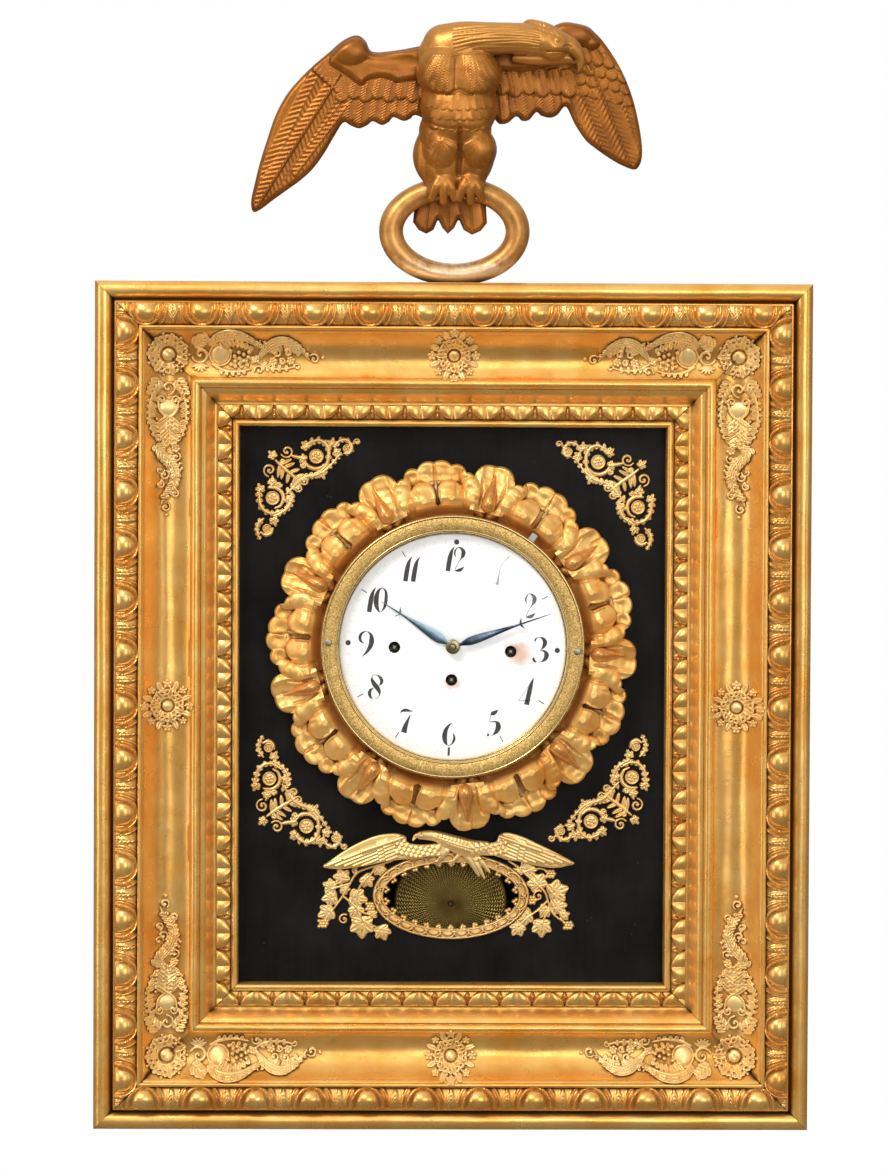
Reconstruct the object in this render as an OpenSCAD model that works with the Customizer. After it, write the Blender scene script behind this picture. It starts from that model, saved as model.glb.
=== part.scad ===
// Viennese frame clock: a gilt picture frame hinged to a wall case, with a black panel, a carved
// wreath round an enamel dial, an oval window onto the pendulum bob, and a carved eagle on a ring.
// The front faces -Y, the wall is the plane y = 0, and the dial's axis is x = 0, z = 0.

/* [Frame] */
// Outside width of the gilt frame
frame_w = 500; // [460:1:540]
// Outside height of the gilt frame
frame_h = 592; // [560:1:640]
// How far the dial's axis is above the middle of the frame
dial_raise = 42; // [30:1:50]
// Width of one frame rail, from the outer edge to the sight edge
rail_w = 100.5; // [95:0.5:105]
// Distance from the wall to the back of the frame
case_depth = 95; // [90:1:110]

/* [Dial] */
// Radius of the enamel dial that shows inside the sight ring
dial_sight_r = 78.3; // [74:0.1:80]
// Outer radius of the brass bezel
bezel_r = 92; // [88:0.5:94]
// Outer radius of the carved wreath
wreath_r = 131.5; // [125:0.5:135]
// How far the dial and its winding holes are turned clockwise from upright
dial_turn = 1.9; // [0:0.1:3]
// Time shown by the hour hand, in hours
hour_shown = 10.2; // [0:0.1:12]
// Time shown by the minute hand, in minutes
minute_shown = 12.15; // [0:0.05:60]

/* [Pendulum] */
// Length from the suspension to the middle of the bob
pendulum_length = 248.5; // [240:0.5:260]
// Radius of the bob
bob_r = 40; // [36:0.5:42]
// Distance from the dial's axis down to the middle of the bob
bob_drop = 183; // [175:0.5:190]

/* [Hidden] */
$fn = 96;
fit = 0.05;        // radial clearance of a pivot in its hole
gap = 0.5;         // clearance between the closed frame and the case

// ---- Colours ----
gilt = [0.83, 0.58, 0.22];
gilt_dark = [0.72, 0.46, 0.16];
gilt_brass = [0.90, 0.72, 0.36];
brass = [0.72, 0.58, 0.28];
steel = [0.45, 0.46, 0.48];
blued = [0.12, 0.15, 0.22];
enamel = [0.96, 0.96, 0.95];
ebonised = [0.05, 0.05, 0.06];
pine = [0.55, 0.40, 0.25];
black_iron = [0.15, 0.15, 0.16];

// ---- Depths, as distances in front of the wall ----
frame_back = case_depth;
panel_front = frame_back + 2.5;
panel_back = panel_front - 6;
wreath_seat = panel_front + 23.5;      // the ledge that the bezel rests on
wreath_moat = panel_front + 14.5;      // the hollow outside the bezel
bezel_front = wreath_seat + 3;
dial_front = panel_front + 18.5;
dial_back = dial_front - 1.6;
front_plate_y = 74;
back_plate_y = 30;
plate_t = 2.5;
pendulum_y = 84;
board_t = 10;
back_board_t = 8;

// ---- Heights and widths ----
frame_mid = -dial_raise;
sight_w = frame_w - 2 * rail_w;
sight_h = frame_h - 2 * rail_w;
rebate = 8;
panel_w = sight_w + 2 * rebate;
panel_h = sight_h + 2 * rebate;
case_in_w = panel_w + 9;
case_in_h = panel_h + 9;
case_w = case_in_w + 2 * board_t;
case_h = case_in_h + 2 * board_t;
frame_top = frame_mid + frame_h / 2;
suspension_z = pendulum_length - bob_drop;

// ---- The window under the dial ----
window_z = -176.5;
window_a = 47.9;
window_b = 23.5;
window_rim = 7.2;

// ---- Moving arbors, as [x, z] ----
function turned(p) = [p[0] * cos(dial_turn) + p[1] * sin(dial_turn), p[1] * cos(dial_turn) - p[0] * sin(dial_turn)];
hour_arbor = turned([-40.7, -2]);
quarter_arbor = turned([40.7, -2]);
going_arbor = turned([0, -23.4]);
centre = [0, 0];
escape_arbor = [0, 36];
anchor_arbor = [0, suspension_z];
lever_pivot = [27.2, 41.9];

// ---- Wheels: teeth and modules ----
great_teeth = 64;
centre_pinion_teeth = 8;
great_module = norm(going_arbor) * 2 / (great_teeth + centre_pinion_teeth);
centre_teeth = 96;
third_pinion_teeth = 8;
centre_module = 0.4;
third_teeth = 80;
escape_pinion_teeth = 8;
third_module = 0.45;
escape_teeth = 30;
escape_r = 17;
cannon_teeth = 14;
minute_teeth = 42;
cannon_module = 0.5;
minute_pinion_teeth = 12;
hour_teeth = 48;
motion_distance = (cannon_teeth + minute_teeth) * cannon_module / 2;
hour_module = motion_distance * 2 / (minute_pinion_teeth + hour_teeth);
minute_arbor = motion_distance * [cos(-45), sin(-45)];
third_from_centre = (centre_teeth + third_pinion_teeth) * centre_module / 2;
third_from_escape = (third_teeth + escape_pinion_teeth) * third_module / 2;
third_z = (pow(third_from_centre, 2) - pow(third_from_escape, 2) + pow(escape_arbor[1], 2))
    / (2 * escape_arbor[1]);
third_arbor = [sqrt(pow(third_from_centre, 2) - pow(third_z, 2)), third_z];

// ---- Hinges and latch ----
hinge_r = 2.4;
hinge_x = -case_w / 2 - hinge_r - 0.1;
hinge_y = -(frame_back - hinge_r - 0.1);
hinge_zs = [frame_mid + 150, frame_mid - 150];
hinge_h = 50;
knuckles = 5;
leaf_t = 1.4;
hook_y = -70;
hook_reach = 19;
hook_x = case_w / 2 + 2;

// ---- Helpers ----
// A flat outline in x and z, from y_back towards the viewer by t
module slab(y_back, t) {
    translate([0, -y_back, 0]) rotate([90, 0, 0]) linear_extrude(t) children();
}
// A round bar along Y at p = [x, z], from y1 to y2 in front of the wall
module bar(p, r, y1, y2) {
    translate([p[0], -y1, p[1]]) rotate([90, 0, 0]) cylinder(r = r, h = y2 - y1);
}
// A profile in [radius, distance from the wall] turned about the dial's axis
module turning(points) {
    rotate([90, 0, 0]) rotate_extrude() polygon(points);
}
function ellipse(a, b, n = 72) = [for (i = [0:n - 1]) [a * cos(360 * i / n), b * sin(360 * i / n)]];
function arc(c, r, a1, a2, n) = [for (i = [0:n]) c + r * [cos(a1 + (a2 - a1) * i / n), sin(a1 + (a2 - a1) * i / n)]];
function heading(from, to) = atan2(to[1] - from[1], to[0] - from[0]);

// ---- Involute teeth ----
pressure = 25;
backlash = 0.2;   // taken off each tooth's thickness
function involute(a) = tan(a) * 180 / PI - a;
function half_tooth(z, m, r) =
    let(rp = z * m / 2, rb = rp * cos(pressure), q = acos(min(1, rb / max(r, rb))))
    90 / z - backlash * 90 / (PI * rp) + involute(pressure) - involute(q);
function gear_outline(z, m, add, ded, steps) =
    let(rp = z * m / 2, rf = rp - ded * m, rt = rp + add * m)
    [for (i = [0:z - 1]) let(mid = 360 * i / z) each concat(
        [for (s = [0:steps]) let(r = rf + (rt - rf) * s / steps, a = mid - half_tooth(z, m, r)) r * [cos(a), sin(a)]],
        [for (s = [steps:-1:0]) let(r = rf + (rt - rf) * s / steps, a = mid + half_tooth(z, m, r)) r * [cos(a), sin(a)]])];
module wheel_outline(z, m) polygon(gear_outline(z, m, 0.7, 1.0, 1));
module pinion_outline(z, m) polygon(gear_outline(z, m, 0.8, 1.0, 4));

// A toothed wheel at p whose gap faces the arbor at mate
module wheel(p, mate, z, m, y1, t) {
    translate([p[0], 0, p[1]]) rotate([0, -(heading(p, mate) + 180 / z), 0]) slab(y1, t) wheel_outline(z, m);
}
// A pinion at p with a leaf pointing at the arbor at mate
module pinion(p, mate, z, m, y1, t) {
    translate([p[0], 0, p[1]]) rotate([0, -heading(p, mate), 0]) slab(y1, t) pinion_outline(z, m);
}
// Round windows that lighten a wheel
module lightened(p, r, hole_r, y1, t, count = 5) {
    difference() {
        children();
        for (i = [0:count - 1])
            bar(p + r * [cos(360 * i / count), sin(360 * i / count)], hole_r, y1 - 1, y1 + t + 1);
    }
}

// ---- Case ----
module back_board() color(pine) difference() {
    translate([-case_w / 2, -back_board_t, frame_mid - case_h / 2]) cube([case_w, back_board_t, case_h]);
    translate([-plate_hw, -plate_d, plate_low]) cube([2 * plate_hw, plate_d + 1, 200]);
    for (z = plate_screws) bar([0, z], 1.6, -1, 7);
}
module case_walls() color(pine) difference() {
    translate([-case_w / 2, -(frame_back - gap), frame_mid - case_h / 2])
        cube([case_w, frame_back - gap - back_board_t, case_h]);
    translate([-case_in_w / 2, -frame_back, frame_mid - case_in_h / 2])
        cube([case_in_w, frame_back, case_in_h]);
    translate([case_w / 2 - 7, hook_y, frame_mid]) rotate([0, 90, 0]) cylinder(r = 1.5, h = 10);
}
plate_hw = 15;
plate_d = 3;
plate_low = 140;
plate_screws = [150, 166];
hanger_z = 194;
hanger_r = 4;
module hanging_plate() color(brass) difference() {
    union() {
        translate([-plate_hw, -plate_d, plate_low]) cube([2 * plate_hw, plate_d, hanger_z - plate_low]);
        bar([0, hanger_z], plate_hw, 0, plate_d);
    }
    bar([0, hanger_z], hanger_r, -1, plate_d + 1);
    for (z = plate_screws) bar([0, z], 1.6, -1, plate_d + 1);
}
// Two screws of the hanging plate and the pivot screw of the hook
module case_screws() color(steel) {
    for (z = plate_screws) bar([0, z], 1.6, 0.2, 7);
    translate([case_w / 2 - 7, hook_y, frame_mid]) rotate([0, 90, 0]) {
        cylinder(r = 1.5, h = 10.5);
        translate([0, 0, 9.7]) cylinder(r = 3.4, h = 1.6);
    }
}

// ---- Hinges: the pin and the even knuckles belong to the case, the odd ones to the frame ----
knuckle_h = hinge_h / knuckles;
module knuckle(z, i, bore) {
    translate([hinge_x, hinge_y, z - hinge_h / 2 + i * knuckle_h + 0.1]) difference() {
        cylinder(r = hinge_r, h = knuckle_h - 0.2);
        translate([0, 0, -1]) cylinder(r = bore, h = knuckle_h + 2);
    }
}
module case_hinge_leaves() color(brass) for (z = hinge_zs) {
    translate([-case_w / 2 - leaf_t, hinge_y + 3, z - hinge_h / 2]) cube([leaf_t, 24, hinge_h]);
    for (i = [0:2:knuckles - 1]) {
        knuckle(z, i, 1);
        translate([-case_w / 2 - leaf_t, hinge_y, z - hinge_h / 2 + i * knuckle_h + 0.1])
            cube([leaf_t, 4, knuckle_h - 0.2]);
    }
    translate([hinge_x, hinge_y, z - hinge_h / 2 - 1]) cylinder(r = 1.1, h = hinge_h + 2);
}
module frame_hinge_leaves() color(brass) for (z = hinge_zs) {
    translate([hinge_x - 28, -frame_back, z - hinge_h / 2]) cube([25, leaf_t, hinge_h]);
    for (i = [1:2:knuckles - 1]) {
        knuckle(z, i, 1.1 + fit);
        difference() {
            translate([hinge_x - 4, -frame_back, z - hinge_h / 2 + i * knuckle_h + 0.1])
                cube([4, leaf_t, knuckle_h - 0.2]);
            translate([hinge_x, hinge_y, z - hinge_h]) cylinder(r = 1.1 + fit, h = 2 * hinge_h);
        }
    }
}
// The hook hangs released; lifted to point forwards it takes hold of the stud
module latch_hook() color(brass) translate([hook_x - 1.7, hook_y, frame_mid]) rotate([0, 90, 0]) {
    difference() {
        linear_extrude(2) difference() {
            union() {
                circle(4);
                translate([0, -2.6]) square([hook_reach - 2, 5.2]);
                translate([hook_reach - 4.4, -4]) square([8.8, 8.4]);
            }
            circle(1.5 + fit);
            translate([hook_reach - 2.1, -6]) square([4.2, 7.9]);
        }
    }
}
module hook_stud() color(brass) {
    translate([case_w / 2 + 5, -frame_back, frame_mid - 6]) cube([14, leaf_t, 12]);
    translate([case_w / 2 + 5, -frame_back, frame_mid - 4]) cube([2, 9, 8]);
    translate([case_w / 2 + 0.4, hook_y - hook_reach, frame_mid]) rotate([0, 90, 0]) cylinder(r = 1.5, h = 6.6);
}

// ---- Frame ----
// The section of a rail, as [distance from the outer edge, distance in front of the frame's back]
function rail_section() = concat(
    [[0, 0], [0, 26]],
    arc([6.3, 27.5], 6.3, 165, 15, 8),
    [[13, 28], [13.6, 34], [15.4, 34], [15.4, 32], [31, 32], [31, 38.5], [34, 38.5], [34, 36]],
    [for (i = [0:8]) [34.6 + 32 * i / 8, 34 - 12.5 * i / 8 - 8.5 * sin(180 * pow(i / 8, 0.85))]],
    [[67, 25], [69, 27.2], [72, 27.2], [74, 25]],
    [for (i = [1:5]) [74 + 11.5 * i / 5, 24 - 7.5 * i / 5 - 2 * sin(36 * i)]],
    [[85.5, 13], [96, 13], [96, 18.5], [100.5, 17.5], [100.5, 2.5], [92.5, 2.5], [92.5, 0]]);
module rail_x(points, top) {
    translate([-frame_w / 2, 0, 0]) rotate([90, 0, 90]) linear_extrude(frame_w)
        polygon([for (p = points) [-(frame_back + p[1]), frame_mid + (top ? 1 : -1) * (frame_h / 2 - p[0])]]);
}
module rail_z(points, left) {
    translate([0, 0, frame_mid - frame_h / 2]) linear_extrude(frame_h)
        polygon([for (p = points) [(left ? -1 : 1) * (frame_w / 2 - p[0]), -(frame_back + p[1])]]);
}
// The 45 degree mitres that end a rail
module mitre_x(top) {
    s = top ? 1 : -1;
    w = rail_w + 1;
    slab(frame_back - 1, 60) polygon([
        [-frame_w / 2 - 1, frame_mid + s * (frame_h / 2 + 1)], [frame_w / 2 + 1, frame_mid + s * (frame_h / 2 + 1)],
        [frame_w / 2 - w, frame_mid + s * (frame_h / 2 - w)], [-frame_w / 2 + w, frame_mid + s * (frame_h / 2 - w)]]);
}
module mitre_z(left) {
    s = left ? -1 : 1;
    w = rail_w + 1;
    slab(frame_back - 1, 60) polygon([
        [s * (frame_w / 2 + 1), frame_mid + frame_h / 2 + 1], [s * (frame_w / 2 + 1), frame_mid - frame_h / 2 - 1],
        [s * (frame_w / 2 - w), frame_mid - frame_h / 2 + w], [s * (frame_w / 2 - w), frame_mid + frame_h / 2 - w]]);
}
module mitred_x(points, top) intersection() { rail_x(points, top); mitre_x(top); }
module mitred_z(points, left) intersection() { rail_z(points, left); mitre_z(left); }
module all_round(points) {
    for (side = [true, false]) { mitred_x(points, side); mitred_z(points, side); }
}
module frame_rail_top() color(gilt) mitred_x(rail_section(), true);
module frame_rail_bottom() color(gilt) mitred_x(rail_section(), false);
module frame_rail_left() color(gilt) mitred_z(rail_section(), true);
module frame_rail_right() color(gilt) mitred_z(rail_section(), false);
module egg_moulding() color(gilt) all_round([[15.4, 32], [15.4, 35.5], [18, 40], [23, 43], [28, 42], [31, 38.5], [31, 32]]);
module leaf_moulding() color(gilt) all_round([[85.5, 13], [85.5, 19.5], [88.5, 22], [93, 21], [96, 17.5], [96, 13]]);

// Ornaments lie in the cove; their backs follow the rails
module fit_to_rails() {
    difference() {
        children();
        all_round(rail_section());
    }
}
corner_in = 51;
module corner_ornaments() color(gilt_dark) fit_to_rails()
    for (sx = [-1, 1], sz = [-1, 1]) {
        c = [sx * (frame_w / 2 - corner_in), frame_mid + sz * (frame_h / 2 - corner_in)];
        bar(c, 16, frame_back + 8, frame_back + 33);
        slab(frame_back + 8, 21) polygon([c + [0, 9], c + [-sx * 40, 12], c + [-sx * 97, 3],
            c + [-sx * 97, -3], c + [-sx * 40, -12], c + [0, -9]]);
        slab(frame_back + 8, 21) polygon([c + [9, 0], c + [12, -sz * 42], c + [3, -sz * 104],
            c + [-3, -sz * 104], c + [-12, -sz * 42], c + [-9, 0]]);
    }
module centre_rosettes() color(gilt_dark) fit_to_rails() {
    for (s = [-1, 1]) {
        bar([0, frame_mid + s * (frame_h / 2 - corner_in)], 16, frame_back + 8, frame_back + 33);
        bar([s * (frame_w / 2 - corner_in), frame_mid], 16, frame_back + 8, frame_back + 33);
    }
}

// ---- Panel and its mounts ----
panel_hole_r = 60;
module panel() color(ebonised) difference() {
    translate([-panel_w / 2, -panel_front, frame_mid - panel_h / 2])
        cube([panel_w, panel_front - panel_back, panel_h]);
    bar([0, 0], panel_hole_r, panel_back - 1, panel_front + 1);
    translate([0, 0, window_z]) slab(panel_back - 1, 8) polygon(ellipse(window_a, window_b));
}
module wreath() color(gilt) turning(concat(
    [[78, panel_front], [78, dial_back], [82.3, dial_back], [82.3, wreath_seat], [bezel_r, wreath_seat],
    [bezel_r + 1, wreath_moat], [bezel_r + 3, wreath_moat]],
    arc([104, wreath_seat - 4], 8.5, 160, 30, 6),
    [[120, panel_front + 17], [126, panel_front + 16], [wreath_r, panel_front + 14],
    [wreath_r, panel_front + 10], [124, panel_front]]));
module spandrel_mounts() color(gilt_brass)
    for (sx = [-1, 1], sz = [-1, 1]) {
        c = [sx * (sight_w / 2 - 9), sz > 0 ? frame_mid + sight_h / 2 - 7 : frame_mid - 52];
        dz = -sz;
        slab(panel_front, 2) difference() {
            polygon([c, c + [-sx * 30, 0], c + [-sx * 72, dz * 4], c + [-sx * 76, dz * 10],
                c + [-sx * 50, dz * 16], c + [-sx * 26, dz * 32], c + [-sx * 10, dz * 62],
                c + [-sx * 4, dz * 70], c + [0, dz * 66]]);
            translate(c + [-sx * 13, dz * 15]) circle(5);
            translate(c + [-sx * 34, dz * 8.5]) circle(3.6);
            translate(c + [-sx * 7.5, dz * 38]) circle(3.6);
            circle(wreath_r + 2);
        }
    }
// The ring of scales round the window
module aperture_ring() color(gilt_brass) translate([0, 0, window_z]) slab(panel_front, 3) difference() {
    polygon(ellipse(window_a + window_rim, window_b + window_rim));
    polygon(ellipse(window_a + 1, window_b + 1));
}
// A low-relief eagle with spread wings, pinned over the ring
mount_eagle_z = -146;
module eagle_mount() color(gilt_brass) slab(panel_front + 3.2, 3.3) translate([-2, mount_eagle_z]) polygon([
    [-8, -14], [-14, -5], [-40, -9], [-66, -11], [-88, -4], [-88, 3], [-66, 7], [-40, 8], [-22, 7],
    [-16, 12], [-24, 13], [-20, 15.5], [-9, 14], [-3, 10], [8, 8], [40, 7], [66, 6], [89, 2], [89, -5],
    [66, -10], [40, -9], [14, -6], [26, -17], [18, -21], [4, -12]]);
module vine_sprays() color(gilt_brass) for (s = [-1, 1])
    slab(panel_front, 2.5) translate([0, window_z]) difference() {
        polygon([[s * 50, 20], [s * 66, 24], [s * 88, 19], [s * 92, 6], [s * 84, -8], [s * 86, -22],
            [s * 72, -30], [s * 52, -26], [s * 44, -21], [s * 57, -9], [s * 58, 8]]);
        polygon(ellipse(window_a + window_rim + 0.4, window_b + window_rim + 0.4));
        translate([s * 74, 2]) circle(4);
    }

// ---- Dial and bezel ----
module bezel() color(brass) difference() {
    turning([[dial_sight_r + 2, wreath_seat], [dial_sight_r + 2, bezel_front - 1], [dial_sight_r + 3, bezel_front],
        [bezel_r - 2, bezel_front], [bezel_r, bezel_front - 1.5], [bezel_r, wreath_seat]]);
    for (s = [-1, 1]) bar(turned([s * 87, 0]), 1.2, wreath_seat - 1, bezel_front + 1);
}
module sight_ring() color(gilt_brass) turning([[dial_sight_r, dial_front], [dial_sight_r, dial_front + 5],
    [dial_sight_r + 0.8, bezel_front - 0.4], [dial_sight_r + 1.9, bezel_front - 0.4],
    [dial_sight_r + 1.9, dial_front]]);
module bezel_screws() color(steel) for (s = [-1, 1]) {
    bar(turned([s * 87, 0]), 1.2, wreath_seat, bezel_front);
    bar(turned([s * 87, 0]), 2.6, bezel_front, bezel_front + 0.9);
}
module dial() color(enamel) difference() {
    bar([0, 0], 82.1, dial_back, dial_front);
    bar([0, 0], 5, dial_back - 1, dial_front + 1);
    for (p = [hour_arbor, quarter_arbor, going_arbor]) bar(p, 4.1, dial_back - 1, dial_front + 1);
}
hour_angle = hour_shown * 30 - 3.9;
minute_angle = minute_shown * 6 - 1.7;
hour_hand_y = dial_front + 2;
minute_hand_y = hour_hand_y + 2.6;
// A leaf-shaped hand with a small cross near its tip
function leaf_side(l, w, s) = [for (i = [0:8]) [s * (1.3 + (w - 1.3) * sin(180 * i / 8)), 5 + (l * 0.62 - 5) * i / 8]];
module hand(angle, l, w, hub, y) color(blued) rotate([0, angle, 0]) slab(y, 1.1) difference() {
    union() {
        circle(hub);
        polygon(concat([for (p = leaf_side(l, w, 1)) p], [[0.6, l - 2], [0, l], [-0.6, l - 2]],
            [for (i = [8:-1:0]) leaf_side(l, w, -1)[i]]));
        translate([0, l * 0.73]) square([7, 1.5], center = true);
    }
    children();
}
module hour_hand() hand(hour_angle, 60, 3.5, 5.2, hour_hand_y) circle(3.5);
module minute_hand() hand(minute_angle, 72.6, 3, 4.6, minute_hand_y) circle(2.6);
module hand_nut() color(brass) difference() {
    bar([0, 0], 3.4, minute_hand_y + 1.1, minute_hand_y + 3);
    bar([0, 0], 1.5, minute_hand_y, minute_hand_y + 2.2);
}

// ---- Eagle ----
ring_z = 290.5;
ring_back = frame_back;
module ring_shape() slab(ring_back, 18) difference() {
    polygon(ellipse(53, 38));
    polygon(ellipse(35.5, 22.5));
}
module ring_at() translate([0, 0, ring_z]) ring_shape();
module tail_shape() slab(ring_back, 6) polygon([[-19, 336], [-29, 301], [-22, 290], [-14, 298], [-6, 287],
    [3, 297], [14, 289], [25, 300], [18, 336]]);
module eagle_ring() color(gilt) difference() {
    ring_at();
    tail_shape();
    translate([-60, -(ring_back + 20), frame_top - 20]) cube([120, 30, 20]);
}
torso = [for (i = [0:12]) [27 * pow(sin(180 * i / 12), 0.8), -54 * cos(180 * i / 12)]];
module eagle_shape() {
    translate([-1, -(frame_back + 19), 379]) rotate([0, 6, 0]) rotate_extrude() polygon(torso);
    for (s = [-1, 1]) translate([s * 12, -(frame_back + 21), 333]) sphere(11);
    for (p = [[8, 412, 17], [24, 418, 14.5], [40, 421, 13]])
        translate([p[0], -(frame_back + 21), p[1]]) sphere(p[2]);
    translate([10, -(frame_back + 21), 413]) rotate([0, 75, 0]) cylinder(r1 = 16.5, r2 = 13, h = 34);
    translate([57, -(frame_back + 21), 423]) sphere(15);
    translate([66, -(frame_back + 21), 421]) rotate([0, 112, 0]) cylinder(r1 = 10, r2 = 2.5, h = 22);
    tail_shape();
}
module eagle_body() color(gilt) difference() {
    eagle_shape();
    ring_at();
    translate([-80, -frame_back, 280]) cube([180, 60, 180]);
}
wing_left = [[-10, 424], [-42, 429], [-69, 427], [-92, 410], [-112, 380], [-128, 345], [-140, 306],
    [-128, 316], [-118, 328], [-108, 334], [-98, 344], [-84, 352], [-66, 362], [-44, 364], [-22, 356], [-10, 350]];
wing_right = [[8, 424], [40, 437], [78, 438], [98, 424], [114, 400], [127, 372], [131, 350], [125, 336],
    [116, 346], [104, 352], [90, 356], [72, 362], [48, 366], [24, 358], [8, 350]];
module eagle_wings() color(gilt) difference() {
    union() {
        slab(frame_back, 14) polygon(wing_left);
        slab(frame_back, 14) polygon(wing_right);
    }
    eagle_shape();
}
// The strap screwed behind the top rail that holds the foot of the ring
module eagle_bracket() color(black_iron) translate([-11, -frame_back, 208]) cube([22, 3, 58]);

// ---- Movement frame ----
plate_hx = 66;
plate_z0 = -52;
plate_z1 = 78;
corners = [[-59, 70], [59, 70], [-59, -44], [59, -44]];
front_plate_back = front_plate_y - plate_t;
back_plate_front = back_plate_y + plate_t;
winders = [going_arbor, hour_arbor, quarter_arbor];
hammers = [[-lever_pivot[0], lever_pivot[1]], lever_pivot];
winder_r = 3;
function pivots() = [[third_arbor, 0.8], [escape_arbor, 0.8], [hammers[0], 0.9], [hammers[1], 0.9]];
module plate_holes(y1, y2) {
    for (p = winders) bar(p, winder_r + fit, y1, y2);
    for (p = pivots()) bar(p[0], p[1] + fit, y1, y2);
    for (p = corners) bar(p, 2, y1, y2);
}
module front_plate() color(brass) {
    difference() {
        translate([-plate_hx, -front_plate_y, plate_z0]) cube([2 * plate_hx, plate_t, plate_z1 - plate_z0]);
        plate_holes(front_plate_back - 1, front_plate_y + 1);
        bar(centre, 1.5 + fit, front_plate_back - 1, front_plate_y + 1);
        bar(anchor_arbor, 1.2 + fit, front_plate_back - 1, front_plate_y + 1);
    }
    bar(minute_arbor, 1, front_plate_y - 0.5, front_plate_y + 7.5);
}
module back_plate() color(brass) difference() {
    translate([-plate_hx, -back_plate_front, plate_z0]) cube([2 * plate_hx, plate_t, plate_z1 - plate_z0]);
    plate_holes(back_plate_y - 1, back_plate_front + 1);
    bar(centre, 1 + fit, back_plate_y - 1, back_plate_front + 1);
    bar(anchor_arbor, 0.8 + fit, back_plate_y - 1, back_plate_front + 1);
    for (p = winders) bar(click_pivot(p), 1, back_plate_y - 1, back_plate_front + 1);
}
module plate_pillars() color(brass) for (p = corners) {
    bar(p, 3.5, back_plate_front, front_plate_back);
    bar(p, 2, back_plate_y, back_plate_front + 1);
}
module movement_posts() color(brass) for (p = corners) {
    bar(p, 4, front_plate_y, panel_back);
    bar(p, 2, front_plate_back, front_plate_y + 1);
}
module suspension_cock() color(brass) {
    translate([-6, -(panel_back - 2.5), suspension_z + 6.5]) cube([12, panel_back - 2.5 - front_plate_y, 5]);
    for (y = [front_plate_y + 5.5, panel_back - 5]) difference() {
        translate([-4.5, -(y + 2), suspension_z - 4]) cube([9, 2, 12]);
        bar(anchor_arbor, 0.9, y - 1, y + 3);
    }
    bar(anchor_arbor, 1, front_plate_y + 5.5, panel_back - 3);
}

// ---- Gongs ----
gong_x = 100;
gong_z = 74;
gong_y = 58;
gong_pitch = 8;
gong_r0 = 7;
gong_turns = 7;
// A coil made of half turns, each one wider than the last
module coil(turns) rotate([90, 0, 0]) {
    for (k = [0:turns - 1])
        translate([(k % 2 == 0 ? -1 : 1) * gong_pitch / 4, 0, 0]) rotate([0, 0, k % 2 == 0 ? 0 : 180])
            rotate_extrude(angle = 180) translate([gong_r0 + k * gong_pitch / 2, 0]) circle(1.2, $fn = 24);
}
module gong_place(s) translate([s * gong_x, -gong_y, gong_z]) mirror([s > 0 ? 0 : 1, 0, 0]) children();
module gong_block() color(brass) for (s = [-1, 1]) difference() {
    union() {
        bar([s * gong_x, gong_z], 5, gong_y - 3, panel_back);
        bar([s * gong_x, gong_z], 9, panel_back - 3, panel_back);
    }
    gong_place(s) coil(1);
}
module hour_gong() color(blued) gong_place(-1) coil(gong_turns);
module quarter_gong() color(blued) gong_place(1) coil(gong_turns);

// ---- Going train ----
module centre_wheel() color(brass) {
    bar(centre, 1.9, back_plate_front + 0.5, front_plate_back - 0.5);
    bar(centre, 1, back_plate_y, back_plate_front + 1);
    bar(centre, 1.5, front_plate_back - 1, minute_hand_y + 2.2);
    pinion(centre, going_arbor, centre_pinion_teeth, great_module, 61, 5);
    lightened(centre, 11, 4.4, 37, 1.5) wheel(centre, third_arbor, centre_teeth, centre_module, 37, 1.5);
}
module third_wheel() color(brass) {
    bar(third_arbor, 1.1, back_plate_front + 0.5, front_plate_back - 0.5);
    bar(third_arbor, 0.8, back_plate_y, front_plate_y);
    pinion(third_arbor, centre, third_pinion_teeth, centre_module, 35.5, 4.5);
    lightened(third_arbor, 10, 4.2, 46, 1.5) wheel(third_arbor, escape_arbor, third_teeth, third_module, 46, 1.5);
}
// Teeth that lean forwards, made of a steep face and a long back
function escape_outline() = [for (i = [0:escape_teeth - 1]) let(a = 360 * i / escape_teeth, s = 360 / escape_teeth)
    each [[escape_r - 3, a], [escape_r, a + 0.22 * s], [escape_r, a + 0.3 * s], [escape_r - 3, a + 0.62 * s]]];
module escape_wheel() color(brass) {
    bar(escape_arbor, 1.3, back_plate_front + 0.5, front_plate_back - 0.5);
    bar(escape_arbor, 0.8, back_plate_y, front_plate_y);
    pinion(escape_arbor, third_arbor, escape_pinion_teeth, third_module, 44.5, 4.5);
    lightened(escape_arbor, 8.2, 3.3, 66, 1.5)
        translate([0, 0, escape_arbor[1]]) slab(66, 1.5)
            polygon([for (p = escape_outline()) p[0] * [cos(p[1]), sin(p[1])]]);
}
// The anchor's pallets stay just clear of the tooth tips through the whole swing
pallet_gap = 1.4;
module pallet_anchor() color(steel) {
    bar(anchor_arbor, 0.8, back_plate_y, back_plate_front + 1);
    bar(anchor_arbor, 1.8, back_plate_front + 0.5, front_plate_back - 0.5);
    bar(anchor_arbor, 1.2, front_plate_back - 1, front_plate_y + 5);
    difference() {
        slab(65.5, 2.5) polygon([[0, 70], [6, 68.5], [14.5, 60], [18.5, 47.5], [13, 44], [11.8, 55], [4, 61.8],
            [-4, 61.8], [-11.8, 55], [-13, 44], [-18.5, 47.5], [-14.5, 60], [-6, 68.5]]);
        bar(escape_arbor, escape_r + pallet_gap, 60, 72);
    }
    slab(front_plate_y + 2.5, 2) polygon([[-3, 69], [3, 69], [2, 35], [-2, 35]]);
    bar([0, 38], 0.9, front_plate_y + 2.5, pendulum_y + 1.5);
}

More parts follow.
